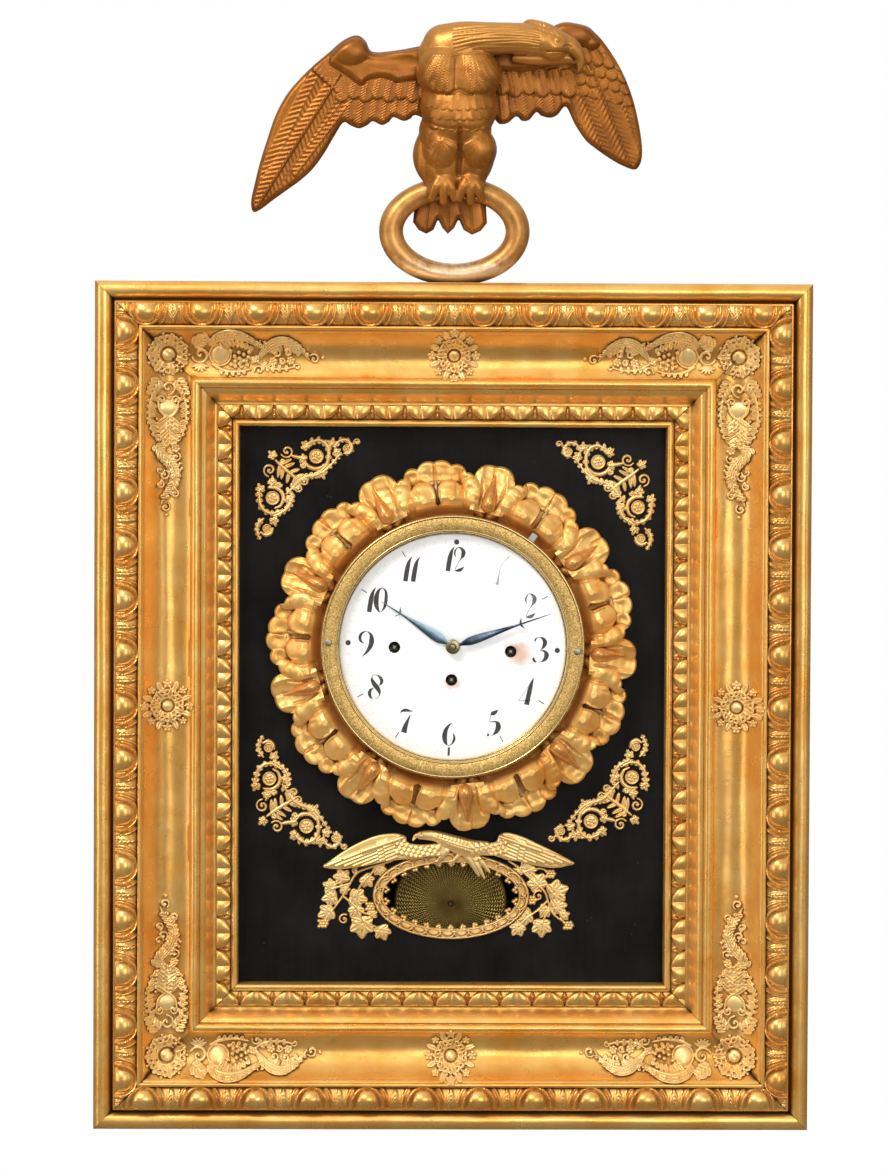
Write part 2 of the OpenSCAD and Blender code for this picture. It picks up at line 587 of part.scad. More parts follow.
// ---- Motion work ----
module cannon_pinion() color(brass) difference() {
    union() {
        pinion(centre, minute_arbor, cannon_teeth, cannon_module, 75.5, 2.5);
        bar(centre, 2.6, 75.5, minute_hand_y + 1.1);
    }
    bar(centre, 1.5, 70, 130);
}
module minute_wheel() color(brass) difference() {
    union() {
        wheel(minute_arbor, centre, minute_teeth, cannon_module, 76, 1.5);
        pinion(minute_arbor, centre, minute_pinion_teeth, hour_module, 77.5, 3.5);
    }
    bar(minute_arbor, 1 + fit, 70, 90);
}
module hour_wheel() color(brass) difference() {
    union() {
        wheel(centre, minute_arbor, hour_teeth, hour_module, 79, 1.5);
        bar(centre, 3.5, 79, hour_hand_y + 1.1);
    }
    bar(centre, 2.6 + fit, 70, 130);
}

// ---- Barrels and winding arbors ----
ratchet_r = 8;
function click_pivot(p) = p + [0, -(ratchet_r + 6)];
function ratchet_outline() = [for (i = [0:19]) each [[ratchet_r - 1.2, 18 * i], [ratchet_r, 18 * i + 1]]];
module winder(p) color(steel) {
    bar(p, winder_r, back_plate_y - 3.5, 103);
    translate([p[0], 0, p[1]]) rotate([0, dial_turn, 0]) slab(102, 11) square(4.2, center = true);
    translate([p[0], 0, p[1]]) slab(back_plate_y - 3, 2) polygon([for (q = ratchet_outline()) q[0] * [cos(q[1]), sin(q[1])]]);
}
module barrel(p, r, y1, y2) bar(p, r, y1, y2);
module going_barrel() color(brass) difference() {
    union() {
        bar(going_arbor, 19, 42, 62.5);
        wheel(going_arbor, centre, great_teeth, great_module, 62, 3);
    }
    bar(going_arbor, winder_r + fit, 40, 70);
}
strike_pins = 12;
pin_circle = 17;
module strike_barrel(p) color(brass) difference() {
    union() {
        bar(p, 18.5, 42, 60.5);
        wheel(p, p + [0, 40], 72, 0.6, 60, 2);
        for (i = [0:strike_pins - 1])
            bar(p + pin_circle * [cos(i * 30 + 15), sin(i * 30 + 15)], 0.75, 61.5, 66);
    }
    bar(p, winder_r + fit, 40, 70);
}
module hour_barrel() strike_barrel(hour_arbor);
module quarter_barrel() strike_barrel(quarter_arbor);
module going_winder() winder(going_arbor);
module hour_winder() winder(hour_arbor);
module quarter_winder() winder(quarter_arbor);
// The clicks stand just clear of their ratchets
module clicks() color(steel) for (p = winders) {
    bar(click_pivot(p), 1, back_plate_y - 3, back_plate_front);
    difference() {
        union() {
            bar(click_pivot(p), 2.6, back_plate_y - 2.6, back_plate_y);
            slab(back_plate_y - 2.6, 2) polygon([click_pivot(p) + [-2.6, 0], click_pivot(p) + [2.6, 0],
                p + [5.5, -4], p + [2.5, -6]]);
        }
        bar(p, ratchet_r + 0.35, 20, 40);
    }
}

// ---- Hammers: the head waits a little off the gong, the tail a little off the pins ----
module hammer(s, arbor) color(steel) {
    p = [s * lever_pivot[0], lever_pivot[1]];
    head = [s * 61.4, 87.3];
    to_arbor = (arbor - p) / norm(arbor - p);
    tail = p + to_arbor * (norm(arbor - p) - pin_circle - 1.6);
    side = [to_arbor[1], -to_arbor[0]];
    bar(p, 0.9, back_plate_y, front_plate_y);
    bar(p, 1.6, back_plate_front + 0.5, front_plate_back - 0.5);
    slab(gong_y - 1, 2) polygon([p + [-s * 1.7, 1.2], head + [-s * 1.2, 0.9], head + [s * 1.2, -0.9], p + [s * 1.7, -1.2]]);
    slab(63.5, 2) polygon([p + side * 1.8, tail + side * 0.9, tail - side * 0.9, p - side * 1.8]);
    slab(gong_y - 3.5, 7) translate(head) rotate(s * -20) square([9, 7], center = true);
}
module hour_hammer() hammer(-1, hour_arbor);
module quarter_hammer() hammer(1, quarter_arbor);

// ---- Pendulum ----
module pendulum_rod() color(steel) {
    difference() {
        slab(pendulum_y - 1, 2) difference() {
            union() {
                translate([-4, suspension_z - 5]) square([8, 9]);
                translate([-2, -234]) square([4, suspension_z + 232]);
                translate([0, 38]) circle(4);
                translate([0, 2]) circle(14);
                translate([-14, -26]) square([28, 28]);
                translate([0, -26]) circle(14);
            }
            translate([0, 2]) circle(11);
            translate([-11, -26]) square([22, 28]);
            translate([0, -26]) circle(11);
            translate([0, suspension_z]) circle(1 + fit);
            translate([0, 38]) circle(0.9 + fit);
            translate([-5, -240]) square([10, 14]);
        }
    }
    translate([0, -pendulum_y, -236]) cylinder(r = 1.2, h = 12);
}
module pendulum_bob() color(brass) difference() {
    translate([0, 0, -bob_drop]) turning([[0, pendulum_y - 6], [14, pendulum_y - 5.6], [28, pendulum_y - 3.9],
        [bob_r - 1, pendulum_y - 1], [bob_r, pendulum_y], [bob_r - 1, pendulum_y + 1], [28, pendulum_y + 3.9],
        [14, pendulum_y + 5.6], [0, pendulum_y + 6]]);
    translate([-2, -(pendulum_y + 1), -bob_drop - 60]) cube([4, 2, 120]);
}
module rating_nut() color(brass) translate([0, -pendulum_y, -230]) difference() {
    cylinder(r = 5, h = 4);
    translate([0, 0, -1]) cylinder(r = 1.2, h = 6);
}

back_board();
case_walls();
hanging_plate();
case_screws();
case_hinge_leaves();
latch_hook();
frame_rail_top();
frame_rail_bottom();
frame_rail_left();
frame_rail_right();
egg_moulding();
leaf_moulding();
corner_ornaments();
centre_rosettes();
panel();
wreath();
spandrel_mounts();
aperture_ring();
eagle_mount();
vine_sprays();
bezel();
sight_ring();
bezel_screws();
dial();
frame_hinge_leaves();
hook_stud();
eagle_ring();
eagle_body();
eagle_wings();
eagle_bracket();
front_plate();
back_plate();
plate_pillars();
movement_posts();
suspension_cock();
clicks();
gong_block();
hour_gong();
quarter_gong();
centre_wheel();
cannon_pinion();
minute_hand();
hand_nut();
hour_wheel();
hour_hand();
minute_wheel();
third_wheel();
escape_wheel();
pallet_anchor();
pendulum_rod();
pendulum_bob();
rating_nut();
going_barrel();
going_winder();
hour_barrel();
hour_winder();
quarter_barrel();
quarter_winder();
hour_hammer();
quarter_hammer();
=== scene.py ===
"""Looks for the gilt frame clock. Lengths are in millimetres until a mesh is made.
A place is (x, d, z): d is the distance in front of the wall, so y = -d."""
import math

import bmesh
import bpy
import numpy as np
from mathutils import Euler, Matrix, Vector


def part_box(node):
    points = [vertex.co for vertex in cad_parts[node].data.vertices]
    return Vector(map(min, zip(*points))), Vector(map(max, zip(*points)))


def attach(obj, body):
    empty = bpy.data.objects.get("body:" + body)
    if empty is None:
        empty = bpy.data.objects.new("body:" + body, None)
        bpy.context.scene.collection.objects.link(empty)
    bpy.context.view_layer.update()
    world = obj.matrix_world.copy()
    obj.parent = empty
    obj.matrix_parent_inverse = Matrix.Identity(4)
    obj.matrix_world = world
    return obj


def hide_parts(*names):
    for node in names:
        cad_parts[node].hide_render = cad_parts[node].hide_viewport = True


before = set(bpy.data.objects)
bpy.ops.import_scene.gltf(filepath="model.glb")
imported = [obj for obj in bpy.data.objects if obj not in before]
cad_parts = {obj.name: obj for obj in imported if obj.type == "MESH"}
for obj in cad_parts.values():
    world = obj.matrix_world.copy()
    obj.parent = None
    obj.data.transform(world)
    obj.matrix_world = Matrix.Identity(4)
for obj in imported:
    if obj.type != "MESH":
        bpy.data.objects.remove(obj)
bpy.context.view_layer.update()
MM = 0.001
TAU = 2 * math.pi


def cad(node):
    """Lowest and highest (x, d, z) of a CAD node, in millimetres."""
    lo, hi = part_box(node)
    return (np.array([lo.x, -hi.y, lo.z]) / MM, np.array([hi.x, -lo.y, hi.z]) / MM)


# ---- Places read from the CAD frame ----
FRAME_LO, FRAME_HI = cad("frame_rail_bottom")[0], cad("frame_rail_top")[1]
FRAME_BACK = FRAME_LO[1]
HALF_W = (FRAME_HI[0] - FRAME_LO[0]) / 2
HALF_H = (FRAME_HI[2] - FRAME_LO[2]) / 2
MID_Z = (FRAME_HI[2] + FRAME_LO[2]) / 2
RAIL_W = cad("frame_rail_left")[1][0] - cad("frame_rail_left")[0][0]
PANEL = cad("panel")[1][1]
SIGHT_X, SIGHT_Z = HALF_W - RAIL_W, HALF_H - RAIL_W
DIAL_FRONT = cad("dial")[1][1]
SIGHT_R = cad("sight_ring")[1][0] - 1.5
BEZEL_LO, BEZEL_HI = cad("bezel")
BEZEL_R = BEZEL_HI[0]
WREATH_R = cad("wreath")[1][0]
WREATH_SEAT = BEZEL_LO[1]
SEAT = WREATH_SEAT - PANEL      # height of the wreath under the bezel, over the panel
RING_LO, RING_HI = cad("aperture_ring")
WINDOW_Z = (RING_LO[2] + RING_HI[2]) / 2
WINDOW_A, WINDOW_B = RING_HI[0], (RING_HI[2] - RING_LO[2]) / 2
BOB_LO, BOB_HI = cad("pendulum_bob")
DIAL_TURN = math.radians(1.9)
FRAME_TOP = FRAME_HI[2]
EGG_BAND = (15.4, 31.0)       # the two carved bands, as distances in from the frame's outer edge
LEAF_BAND = (85.5, 96.0)
PAINT_THICK = 0.09


# ---- Meshes ----
def mesh_object(name, verts, quads, material, body="frame", slot=None, replaces=(), smooth=True, tris=None,
                weld=False):
    """A piece from vertices as (x, d, z) in millimetres; weld joins the surfaces it was put together from."""
    v = np.asarray(verts, float)
    co = np.stack([v[:, 0], -v[:, 1], v[:, 2]], 1) * MM
    quads = np.asarray(quads, np.int32).reshape(-1, 4)
    tris = np.zeros((0, 3), np.int32) if tris is None else np.asarray(tris, np.int32).reshape(-1, 3)
    used = np.unique(np.concatenate([quads.ravel(), tris.ravel()]))
    renumber = np.full(len(co), -1, np.int32)
    renumber[used] = np.arange(len(used))
    co, quads, tris = co[used], renumber[quads], renumber[tris]
    mesh = bpy.data.meshes.new(name)
    mesh.vertices.add(len(co))
    mesh.vertices.foreach_set("co", co.astype(np.float32).ravel())
    mesh.loops.add(quads.size + tris.size)
    mesh.loops.foreach_set("vertex_index", np.concatenate([quads.ravel(), tris.ravel()]))
    starts = np.concatenate([np.arange(len(quads)) * 4, quads.size + np.arange(len(tris)) * 3])
    mesh.polygons.add(len(starts))
    mesh.polygons.foreach_set("loop_start", starts.astype(np.int32))
    mesh.polygons.foreach_set("loop_total", np.array([4] * len(quads) + [3] * len(tris), np.int32))
    mesh.polygons.foreach_set("use_smooth", np.full(len(starts), smooth))
    mesh.update(calc_edges=True)
    mesh.validate()
    if weld:
        shape = bmesh.new()
        shape.from_mesh(mesh)
        bmesh.ops.remove_doubles(shape, verts=shape.verts, dist=0.002 * MM)
        bmesh.ops.holes_fill(shape, edges=shape.edges, sides=0)
        bmesh.ops.recalc_face_normals(shape, faces=shape.faces)
        shape.to_mesh(mesh)
        shape.free()
        if smooth:
            mesh.set_sharp_from_angle(angle=math.radians(48))
    obj = bpy.data.objects.new(name, mesh)
    bpy.context.scene.collection.objects.link(obj)
    mesh.materials.append(material)
    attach(obj, body)
    if replaces:
        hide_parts(*replaces)
    return obj


def grid_quads(nu, nv, wrap_u=False, wrap_v=False, flip=False):
    """Quads over an nu by nv grid of vertices numbered i * nv + j."""
    i = np.arange(nu if wrap_u else nu - 1)[:, None]
    j = np.arange(nv if wrap_v else nv - 1)[None, :]
    a = i * nv + j
    b = ((i + 1) % nu) * nv + j
    c = ((i + 1) % nu) * nv + (j + 1) % nv
    e = i * nv + (j + 1) % nv
    q = np.stack([a, b, c, e], -1).reshape(-1, 4)
    return q[:, ::-1] if flip else q


class Parts:
    """Collects surfaces that together make one piece."""

    def __init__(self):
        self.verts, self.quads, self.tris, self.count = [], [], [], 0

    def add(self, verts, quads=None, tris=None):
        verts = np.asarray(verts, float).reshape(-1, 3)
        if quads is not None and len(quads):
            self.quads.append(np.asarray(quads).reshape(-1, 4) + self.count)
        if tris is not None and len(tris):
            self.tris.append(np.asarray(tris).reshape(-1, 3) + self.count)
        self.verts.append(verts)
        self.count += len(verts)

    def build(self, name, material, **kw):
        quads = np.concatenate(self.quads) if self.quads else np.zeros((0, 4), int)
        tris = np.concatenate(self.tris) if self.tris else None
        return mesh_object(name, np.concatenate(self.verts), quads, material, tris=tris, weld=True, **kw)


def lathe(parts, profile, centre=(0, 0), n=160):
    """Turns a closed [radius, d] profile about an axis along y through centre = (x, z)."""
    p = np.asarray(profile, float)
    a = np.arange(n) * TAU / n
    v = np.stack([centre[0] + p[None, :, 0] * np.cos(a)[:, None],
                  np.broadcast_to(p[None, :, 1], (n, len(p))),
                  centre[1] + p[None, :, 0] * np.sin(a)[:, None]], -1)
    parts.add(v, grid_quads(n, len(p), wrap_u=True, wrap_v=True))


def catmull(points, n=12):
    """A smooth line through the points; any further columns are smoothed too."""
    p = np.asarray(points, float)
    p = np.vstack([2 * p[0] - p[1], p, 2 * p[-1] - p[-2]])
    t = np.linspace(0, 1, n, endpoint=False)[:, None]
    out = []
    for k in range(1, len(p) - 2):
        a, b, c, e = p[k - 1:k + 3]
        square, cube = 2 * a - 5 * b + 4 * c - e, 3 * b - a - 3 * c + e
        out.append(0.5 * (2 * b + (c - a) * t + square * t ** 2 + cube * t ** 3))
    return np.vstack(out + [p[-2:-1]])


def spread(values, n):
    """n values along a line, from one value or from a few that are evenly spaced."""
    values = np.atleast_1d(np.asarray(values, float))
    if len(values) == n:
        return values
    return np.interp(np.linspace(0, 1, n), np.linspace(0, 1, len(values)), values)


def along_segment(X, Z, a, b):
    """How far along the segment from a to b each place is, from 0 to 1, and how far from it."""
    d = b - a
    t = np.clip(((X - a[0]) * d[0] + (Z - a[1]) * d[1]) / max(d @ d, 1e-9), 0, 1)
    return t, np.hypot(X - a[0] - t * d[0], Z - a[1] - t * d[1])


def evenly_along(line, count):
    """Evenly spaced points of a line, each with the line's direction there."""
    run = np.concatenate([[0], np.cumsum(np.hypot(*np.diff(line, axis=0).T))])
    for k in range(count):
        here = (k + 0.5) / count * run[-1]
        point = np.array([np.interp(here, run, column) for column in line.T])
        ahead = np.array([np.interp(here + 0.5, run, column) for column in line.T])
        yield point, (ahead - point) / max(np.hypot(*(ahead - point)), 1e-6)


def turned(x, z, degrees):
    """x and z turned clockwise about the middle of the dial."""
    c, s = math.cos(math.radians(degrees)), math.sin(math.radians(degrees))
    return x * c + z * s, z * c - x * s


def sheet_object(name, front, back, solid, material, **kw):
    """A closed piece between a front and a back grid, which share the vertices that aren't solid."""
    nu, nv = solid.shape
    ids = np.arange(nu * nv)
    index = np.where(solid.ravel(), ids + nu * nv, ids)
    quads = grid_quads(nu, nv)
    quads = quads[solid.ravel()[quads].any(1)]
    verts = np.concatenate([front.reshape(-1, 3), back.reshape(-1, 3)])
    return mesh_object(name, verts, np.concatenate([quads, index[quads][:, ::-1]]), material, **kw)


# ---- Relief: fields over a grid of x and z, raised from a floor ----
class Relief:
    """A carved or cast relief lying on the surface floor(x, z), in mm in front of the wall."""

    def __init__(self, x0, x1, z0, z1, step):
        self.step = step
        self.x = np.arange(x0, x1 + step, step)
        self.z = np.arange(z0, z1 + step, step)
        self.X, self.Z = np.meshgrid(self.x, self.z, indexing="ij")
        self.h = np.full(self.X.shape, -1.0)

    def window(self, x0, x1, z0, z1):
        i0, i1 = np.searchsorted(self.x, [x0, x1])
        j0, j1 = np.searchsorted(self.z, [z0, z1])
        return slice(max(i0 - 1, 0), i1 + 1), slice(max(j0 - 1, 0), j1 + 1)

    def raise_to(self, win, value):
        self.h[win] = np.maximum(self.h[win], value)

    def stroke(self, line, width, height, power=0.5):
        """A rounded ridge along a line; width is its half width."""
        line = np.asarray(line, float)
        w, h = spread(width, len(line)), spread(height, len(line))
        for k in range(len(line) - 1):
            a, b = line[k], line[k + 1]
            m = max(w[k], w[k + 1]) + self.step
            win = self.window(min(a[0], b[0]) - m, max(a[0], b[0]) + m, min(a[1], b[1]) - m,
                              max(a[1], b[1]) + m)
            t, off = along_segment(self.X[win], self.Z[win], a, b)
            s = 1 - (off / np.maximum(w[k] + (w[k + 1] - w[k]) * t, 1e-6)) ** 2
            ridge = (h[k] + (h[k + 1] - h[k]) * t) * np.maximum(s, 0) ** power
            self.raise_to(win, np.where(s > 0, ridge, -1))

    def dome(self, cx, cz, r, height, power=0.5):
        win = self.window(cx - r, cx + r, cz - r, cz + r)
        s = 1 - ((self.X[win] - cx) ** 2 + (self.Z[win] - cz) ** 2) / r ** 2
        self.raise_to(win, np.where(s > 0, height * np.maximum(s, 0) ** power, -1))

    def leaf(self, x0, z0, x1, z1, width, height, vein):
        """A pointed leaf from its root to its tip, with a groove down the middle."""
        win = self.window(min(x0, x1) - width, max(x0, x1) + width, min(z0, z1) - width, max(z0, z1) + width)
        X, Z = self.X[win], self.Z[win]
        d = np.array([x1 - x0, z1 - z0])
        length = np.hypot(*d)
        d = d / length
        t = ((X - x0) * d[0] + (Z - z0) * d[1]) / length
        s = (-(X - x0) * d[1] + (Z - z0) * d[0])
        w = width * np.sqrt(np.clip(np.sin(np.pi * np.clip(t, 0, 1) ** 0.8), 0, 1))
        q = np.abs(s) / np.maximum(w, 1e-6)
        ok = (t > 0) & (t < 1) & (q < 1)
        groove = vein * np.exp(-(s / (0.12 * width + 0.12)) ** 2)
        value = height * np.sqrt(np.clip(1 - q ** 2, 0, 1)) * (1 - groove)
        self.raise_to(win, np.where(ok, value, -1))

    def build(self, name, floor, material, sink=0.25, **kw):
        base = floor(self.X, self.Z) if callable(floor) else np.full(self.X.shape, float(floor))
        raised = self.h > 0
        front = np.stack([self.X, base + np.where(raised, self.h, -sink), self.Z], -1)
        back = np.stack([self.X, base - sink, self.Z], -1)
        sheet_object(name, front, back, raised, material, **kw)


# ---- Materials ----
def fill_inputs(tree, node, inputs):
    """Gives a node's inputs their values, or links them to other nodes' outputs."""
    for key, value in inputs.items():
        socket = node.inputs[key]
        if isinstance(value, bpy.types.NodeSocket):
            tree.links.new(value, socket)
        elif socket.type == "RGBA" and len(value) == 3:
            socket.default_value = (*value, 1)
        else:
            socket.default_value = value


def add_node(tree, kind, inputs, **settings):
    node = tree.nodes.new(kind)
    for name, value in settings.items():
        setattr(node, name, value)
    fill_inputs(tree, node, inputs)
    return node


def set_stops(node, stops):
    """Gives a colour ramp its stops, each a place from 0 to 1 with a colour or a grey value."""
    elements = node.color_ramp.elements
    while len(elements) < len(stops):
        elements.new(0.5)
    for element, (place, colour) in zip(elements, stops):
        element.position = place
        element.color = (*(colour if hasattr(colour, "__len__") else (colour,) * 3), 1)


class Nodes:
    """Shorthand for one material's nodes. Coordinates are object coordinates in metres."""

    def __init__(self, name):
        self.mat = bpy.data.materials.new(name)
        self.mat.use_nodes = True
        self.tree = self.mat.node_tree
        self.coord = self.add("ShaderNodeTexCoord", "Object", {})

    def add(self, kind, output, inputs, **settings):
        return add_node(self.tree, kind, inputs, **settings).outputs[output]

    def stretched(self, scale):
        return self.add("ShaderNodeMapping", "Vector", {"Scale": scale, "Vector": self.coord})

    def noise(self, size, detail=3, rough=0.55, vector=None, distortion=0.0):
        """Noise whose features are about size millimetres."""
        return self.add("ShaderNodeTexNoise", "Fac", {
            "Scale": 1 / (size * MM), "Detail": detail, "Roughness": rough, "Distortion": distortion,
            "Vector": vector or self.coord})

    def cells(self, size):
        return self.add("ShaderNodeTexVoronoi", "Distance", {"Scale": 1 / (size * MM), "Vector": self.coord})

    def ramp(self, value, stops):
        node = add_node(self.tree, "ShaderNodeValToRGB", {"Fac": value})
        set_stops(node, stops)
        return node.outputs["Color"]

    def mix(self, fac, a, b):
        return self.add("ShaderNodeMix", 2, {0: fac, 6: a, 7: b}, data_type="RGBA")

    def math(self, op, a, b=0.0):
        return self.add("ShaderNodeMath", 0, {0: a, 1: b}, operation=op)

    def axis(self, which):
        return self.add("ShaderNodeSeparateXYZ", which, {0: self.coord})

    def hollow(self, reach):
        """0 in the open, 1 in hollows narrower than reach millimetres."""
        open_share = self.add("ShaderNodeAmbientOcclusion", "AO", {"Distance": reach * MM}, samples=4)
        return self.math("SUBTRACT", 1.0, open_share)

    def bump(self, height, distance, strength=1.0, normal=None):
        inputs = {"Strength": strength, "Distance": distance * MM, "Height": height}
        if normal is not None:
            inputs["Normal"] = normal
        return self.add("ShaderNodeBump", "Normal", inputs)

    def finish(self, colour, rough, metal=0.0, normal=None, coat=0.0, coat_rough=0.1, specular=0.5):
        inputs = {"Base Color": colour, "Roughness": rough, "Metallic": metal, "Coat Weight": coat,
                  "Coat Roughness": coat_rough, "Specular IOR Level": specular}
        if normal is not None:
            inputs["Normal"] = normal
        fill_inputs(self.tree, self.tree.nodes["Principled BSDF"], inputs)
        return self.mat


def gilding(name, light, deep, dirt_and_shade=(0.16, 0.075, 0.02), bole=(0.42, 0.13, 0.045), bole_at=0.66, rough=0.30,
            metal=0.75, grain=0.05, hollow=7.0, dirt_and_shade_share=0.85, paler_upwards=None):
    """Leaf gold over red clay: tone varies, high spots rub through, specks of dirt lie on it, and the hollows
    darken with dirt and painted shade. An optional band of heights turns paler towards its top.
    """
    m = Nodes(name)
    tone = m.ramp(m.noise(28, 4), [(0.30, deep), (0.62, light)])
    worn = m.ramp(m.noise(16, 6, 0.7), [(bole_at, 0.0), (bole_at + 0.10, 1.0)])
    tone = m.mix(m.math("MULTIPLY", worn, 0.55), tone, bole)
    if paler_upwards:
        # paler towards the top, from the height low up to the height high
        low, high, pale = paler_upwards
        up = m.math("DIVIDE", m.math("SUBTRACT", m.axis(2), low * MM), (high - low) * MM)
        up = m.math("ADD", up, m.math("MULTIPLY", m.math("SUBTRACT", m.noise(14, 4), 0.5), 0.8))
        tone = m.mix(m.ramp(up, [(0.0, 0.0), (1.0, 0.85)]), tone, pale)
    specks = m.ramp(m.noise(2.2, 2, 0.6), [(0.72, 0.0), (0.80, 1.0)])
    tone = m.mix(m.math("MULTIPLY", specks, 0.35), tone, dirt_and_shade)
    # dirt and painted shade in the hollows: darker where ambient occlusion finds a hollow
    shade = m.ramp(m.hollow(hollow), [(0.22, 0.0), (0.75, 1.0)])
    tone = m.mix(m.math("MULTIPLY", shade, dirt_and_shade_share), tone, dirt_and_shade)
    roughness = m.math("ADD", m.math("MULTIPLY", m.noise(9, 4), 0.22), rough - 0.08)
    roughness = m.math("ADD", roughness, m.math("MULTIPLY", shade, 0.2))
    normal = m.bump(m.noise(1.3, 4, 0.6), grain, 1.0, m.bump(m.noise(11, 3), 0.35, 0.6))
    return m.finish(tone, roughness, metal, normal)


def make_materials():
    M = {}
    M["rail"] = gilding("frame_gilding", (0.95, 0.57, 0.165), (0.86, 0.41, 0.075), dirt_and_shade=(0.20, 0.075, 0.012),
                        rough=0.27, hollow=9, bole_at=0.68)
    M["moulding"] = gilding("moulding_gilding", (0.94, 0.55, 0.165), (0.80, 0.37, 0.07),
                            dirt_and_shade=(0.20, 0.075, 0.012), rough=0.25, hollow=5)
    M["ornament"] = gilding("ornament_gilding", (1.0, 0.74, 0.33), (0.96, 0.60, 0.20),
                            dirt_and_shade=(0.44, 0.20, 0.05), rough=0.34, metal=0.62, hollow=2.8, grain=0.14,
                            bole_at=0.72)
    M["wreath"] = gilding("wreath_gilding", (0.96, 0.58, 0.18), (0.84, 0.39, 0.075), dirt_and_shade=(0.26, 0.09, 0.015),
                          rough=0.36, metal=0.62, hollow=9, dirt_and_shade_share=0.7, bole=(0.55, 0.20, 0.06),
                          bole_at=0.70)
    M["bud"] = gilding("bud_gilding", (0.80, 0.38, 0.10), (0.58, 0.22, 0.05), rough=0.26, metal=0.6, hollow=6,
                       bole=(0.45, 0.12, 0.04), bole_at=0.55)
    M["keyhole"] = gilding("keyhole_gilding", (0.62, 0.47, 0.24), (0.42, 0.29, 0.13), rough=0.42, metal=0.6,
                           hollow=4)
    M["mount"] = gilding("mount_brass", (0.97, 0.68, 0.29), (0.90, 0.55, 0.18), dirt_and_shade=(0.30, 0.15, 0.035),
                         rough=0.36, metal=0.72, hollow=1.6, grain=0.03, bole=(0.66, 0.42, 0.16),
                         bole_at=0.66)
    M["eagle"] = gilding("carved_eagle_gilding", (0.41, 0.140, 0.014), (0.235, 0.070, 0.006),
                         dirt_and_shade=(0.07, 0.022, 0.004), rough=0.33, metal=0.62, hollow=8, grain=0.07,
                         bole=(0.26, 0.07, 0.03), bole_at=0.60)
    M["eagle_body"] = gilding("carved_body_gilding", (0.52, 0.20, 0.030), (0.31, 0.105, 0.013),
                              dirt_and_shade=(0.08, 0.025, 0.004), rough=0.32, metal=0.62, hollow=8, grain=0.09,
                              bole=(0.28, 0.075, 0.03), bole_at=0.60, paler_upwards=(398, 424, (0.62, 0.285, 0.06)))
    M["ring"] = ring_gilding()
    M["panel"] = ebonised()
    M["bezel"] = stippled_brass()
    M["hour_hand"] = plain_metal("hour_hand_steel", (0.20, 0.30, 0.36), 0.30, tarnish=0.9)
    M["rim"] = plain_metal("bezel_rim_brass", (0.72, 0.52, 0.22), 0.24, scratch=0.02)
    M["dial"] = enamel()
    M["marks"] = plain_paint("numeral_paint", (0.035, 0.030, 0.034))
    M["faded"] = plain_paint("faded_paint", (0.34, 0.36, 0.36))
    M["greyed"] = plain_paint("greyed_paint", (0.10, 0.105, 0.11))
    M["minutes"] = plain_paint("minute_paint", (0.56, 0.60, 0.62))
    M["blued"] = blued_steel()
    M["collet"] = plain_metal("collet_brass", (0.40, 0.32, 0.18), 0.30, tarnish=0.6)
    M["bob"] = engine_turned()
    M["brass"] = plain_metal("movement_brass", (0.78, 0.58, 0.26), 0.26, scratch=0.05, tarnish=0.35)
    M["steel"] = plain_metal("movement_steel", (0.50, 0.50, 0.51), 0.24, scratch=0.05, tarnish=0.25)
    M["screw"] = plain_metal("screw_steel", (0.42, 0.41, 0.39), 0.36, scratch=0.04, tarnish=0.5)
    M["case_brass"] = plain_metal("case_brass", (0.62, 0.46, 0.20), 0.34, scratch=0.05, tarnish=0.7)
    # black iron for the eagle's bracket; on the winding arbors this black is painted shade in the dial's
    # holes
    M["iron_and_hole_shade"] = plain_metal("black_iron", (0.055, 0.052, 0.05), 0.52, scratch=0.08, tarnish=0.5)
    M["pine"] = oiled_wood("pine", (0.40, 0.25, 0.13), (0.26, 0.15, 0.075))
    M["frame_back"] = oiled_wood("frame_back_wood", (0.46, 0.31, 0.17), (0.33, 0.20, 0.10))
    return M


def ring_gilding():
    """The eagle's ring: its lower part is rubbed to pale ground, its upper part red."""
    m = Nodes("eagle_ring_gilding")
    height = m.axis(2)
    low = m.math("SUBTRACT", 1.0, m.math("DIVIDE", m.math("SUBTRACT", height, (FRAME_TOP + 1) * MM), 20 * MM))
    low = m.math("ADD", low, m.math("MULTIPLY", m.math("SUBTRACT", m.noise(6, 5, 0.7), 0.5), 1.6))
    tone = m.ramp(m.noise(12, 5), [(0.32, (0.46, 0.19, 0.04)), (0.64, (0.70, 0.36, 0.10))])
    tone = m.mix(m.ramp(m.noise(9, 6, 0.7), [(0.60, 0.0), (0.70, 0.6)]), tone, (0.42, 0.15, 0.06))
    tone = m.mix(m.ramp(low, [(0.20, 0.0), (0.70, 0.9)]), tone, (0.82, 0.66, 0.44))
    # painted shade: darker brown in the hollows
    tone = m.mix(m.ramp(m.hollow(7), [(0.25, 0.0), (0.8, 0.8)]), tone, (0.13, 0.06, 0.02))
    rough = m.math("ADD", m.math("MULTIPLY", m.noise(7, 4), 0.3), 0.2)
    return m.finish(tone, rough, 0.6, m.bump(m.noise(1.6, 5, 0.65), 0.14))


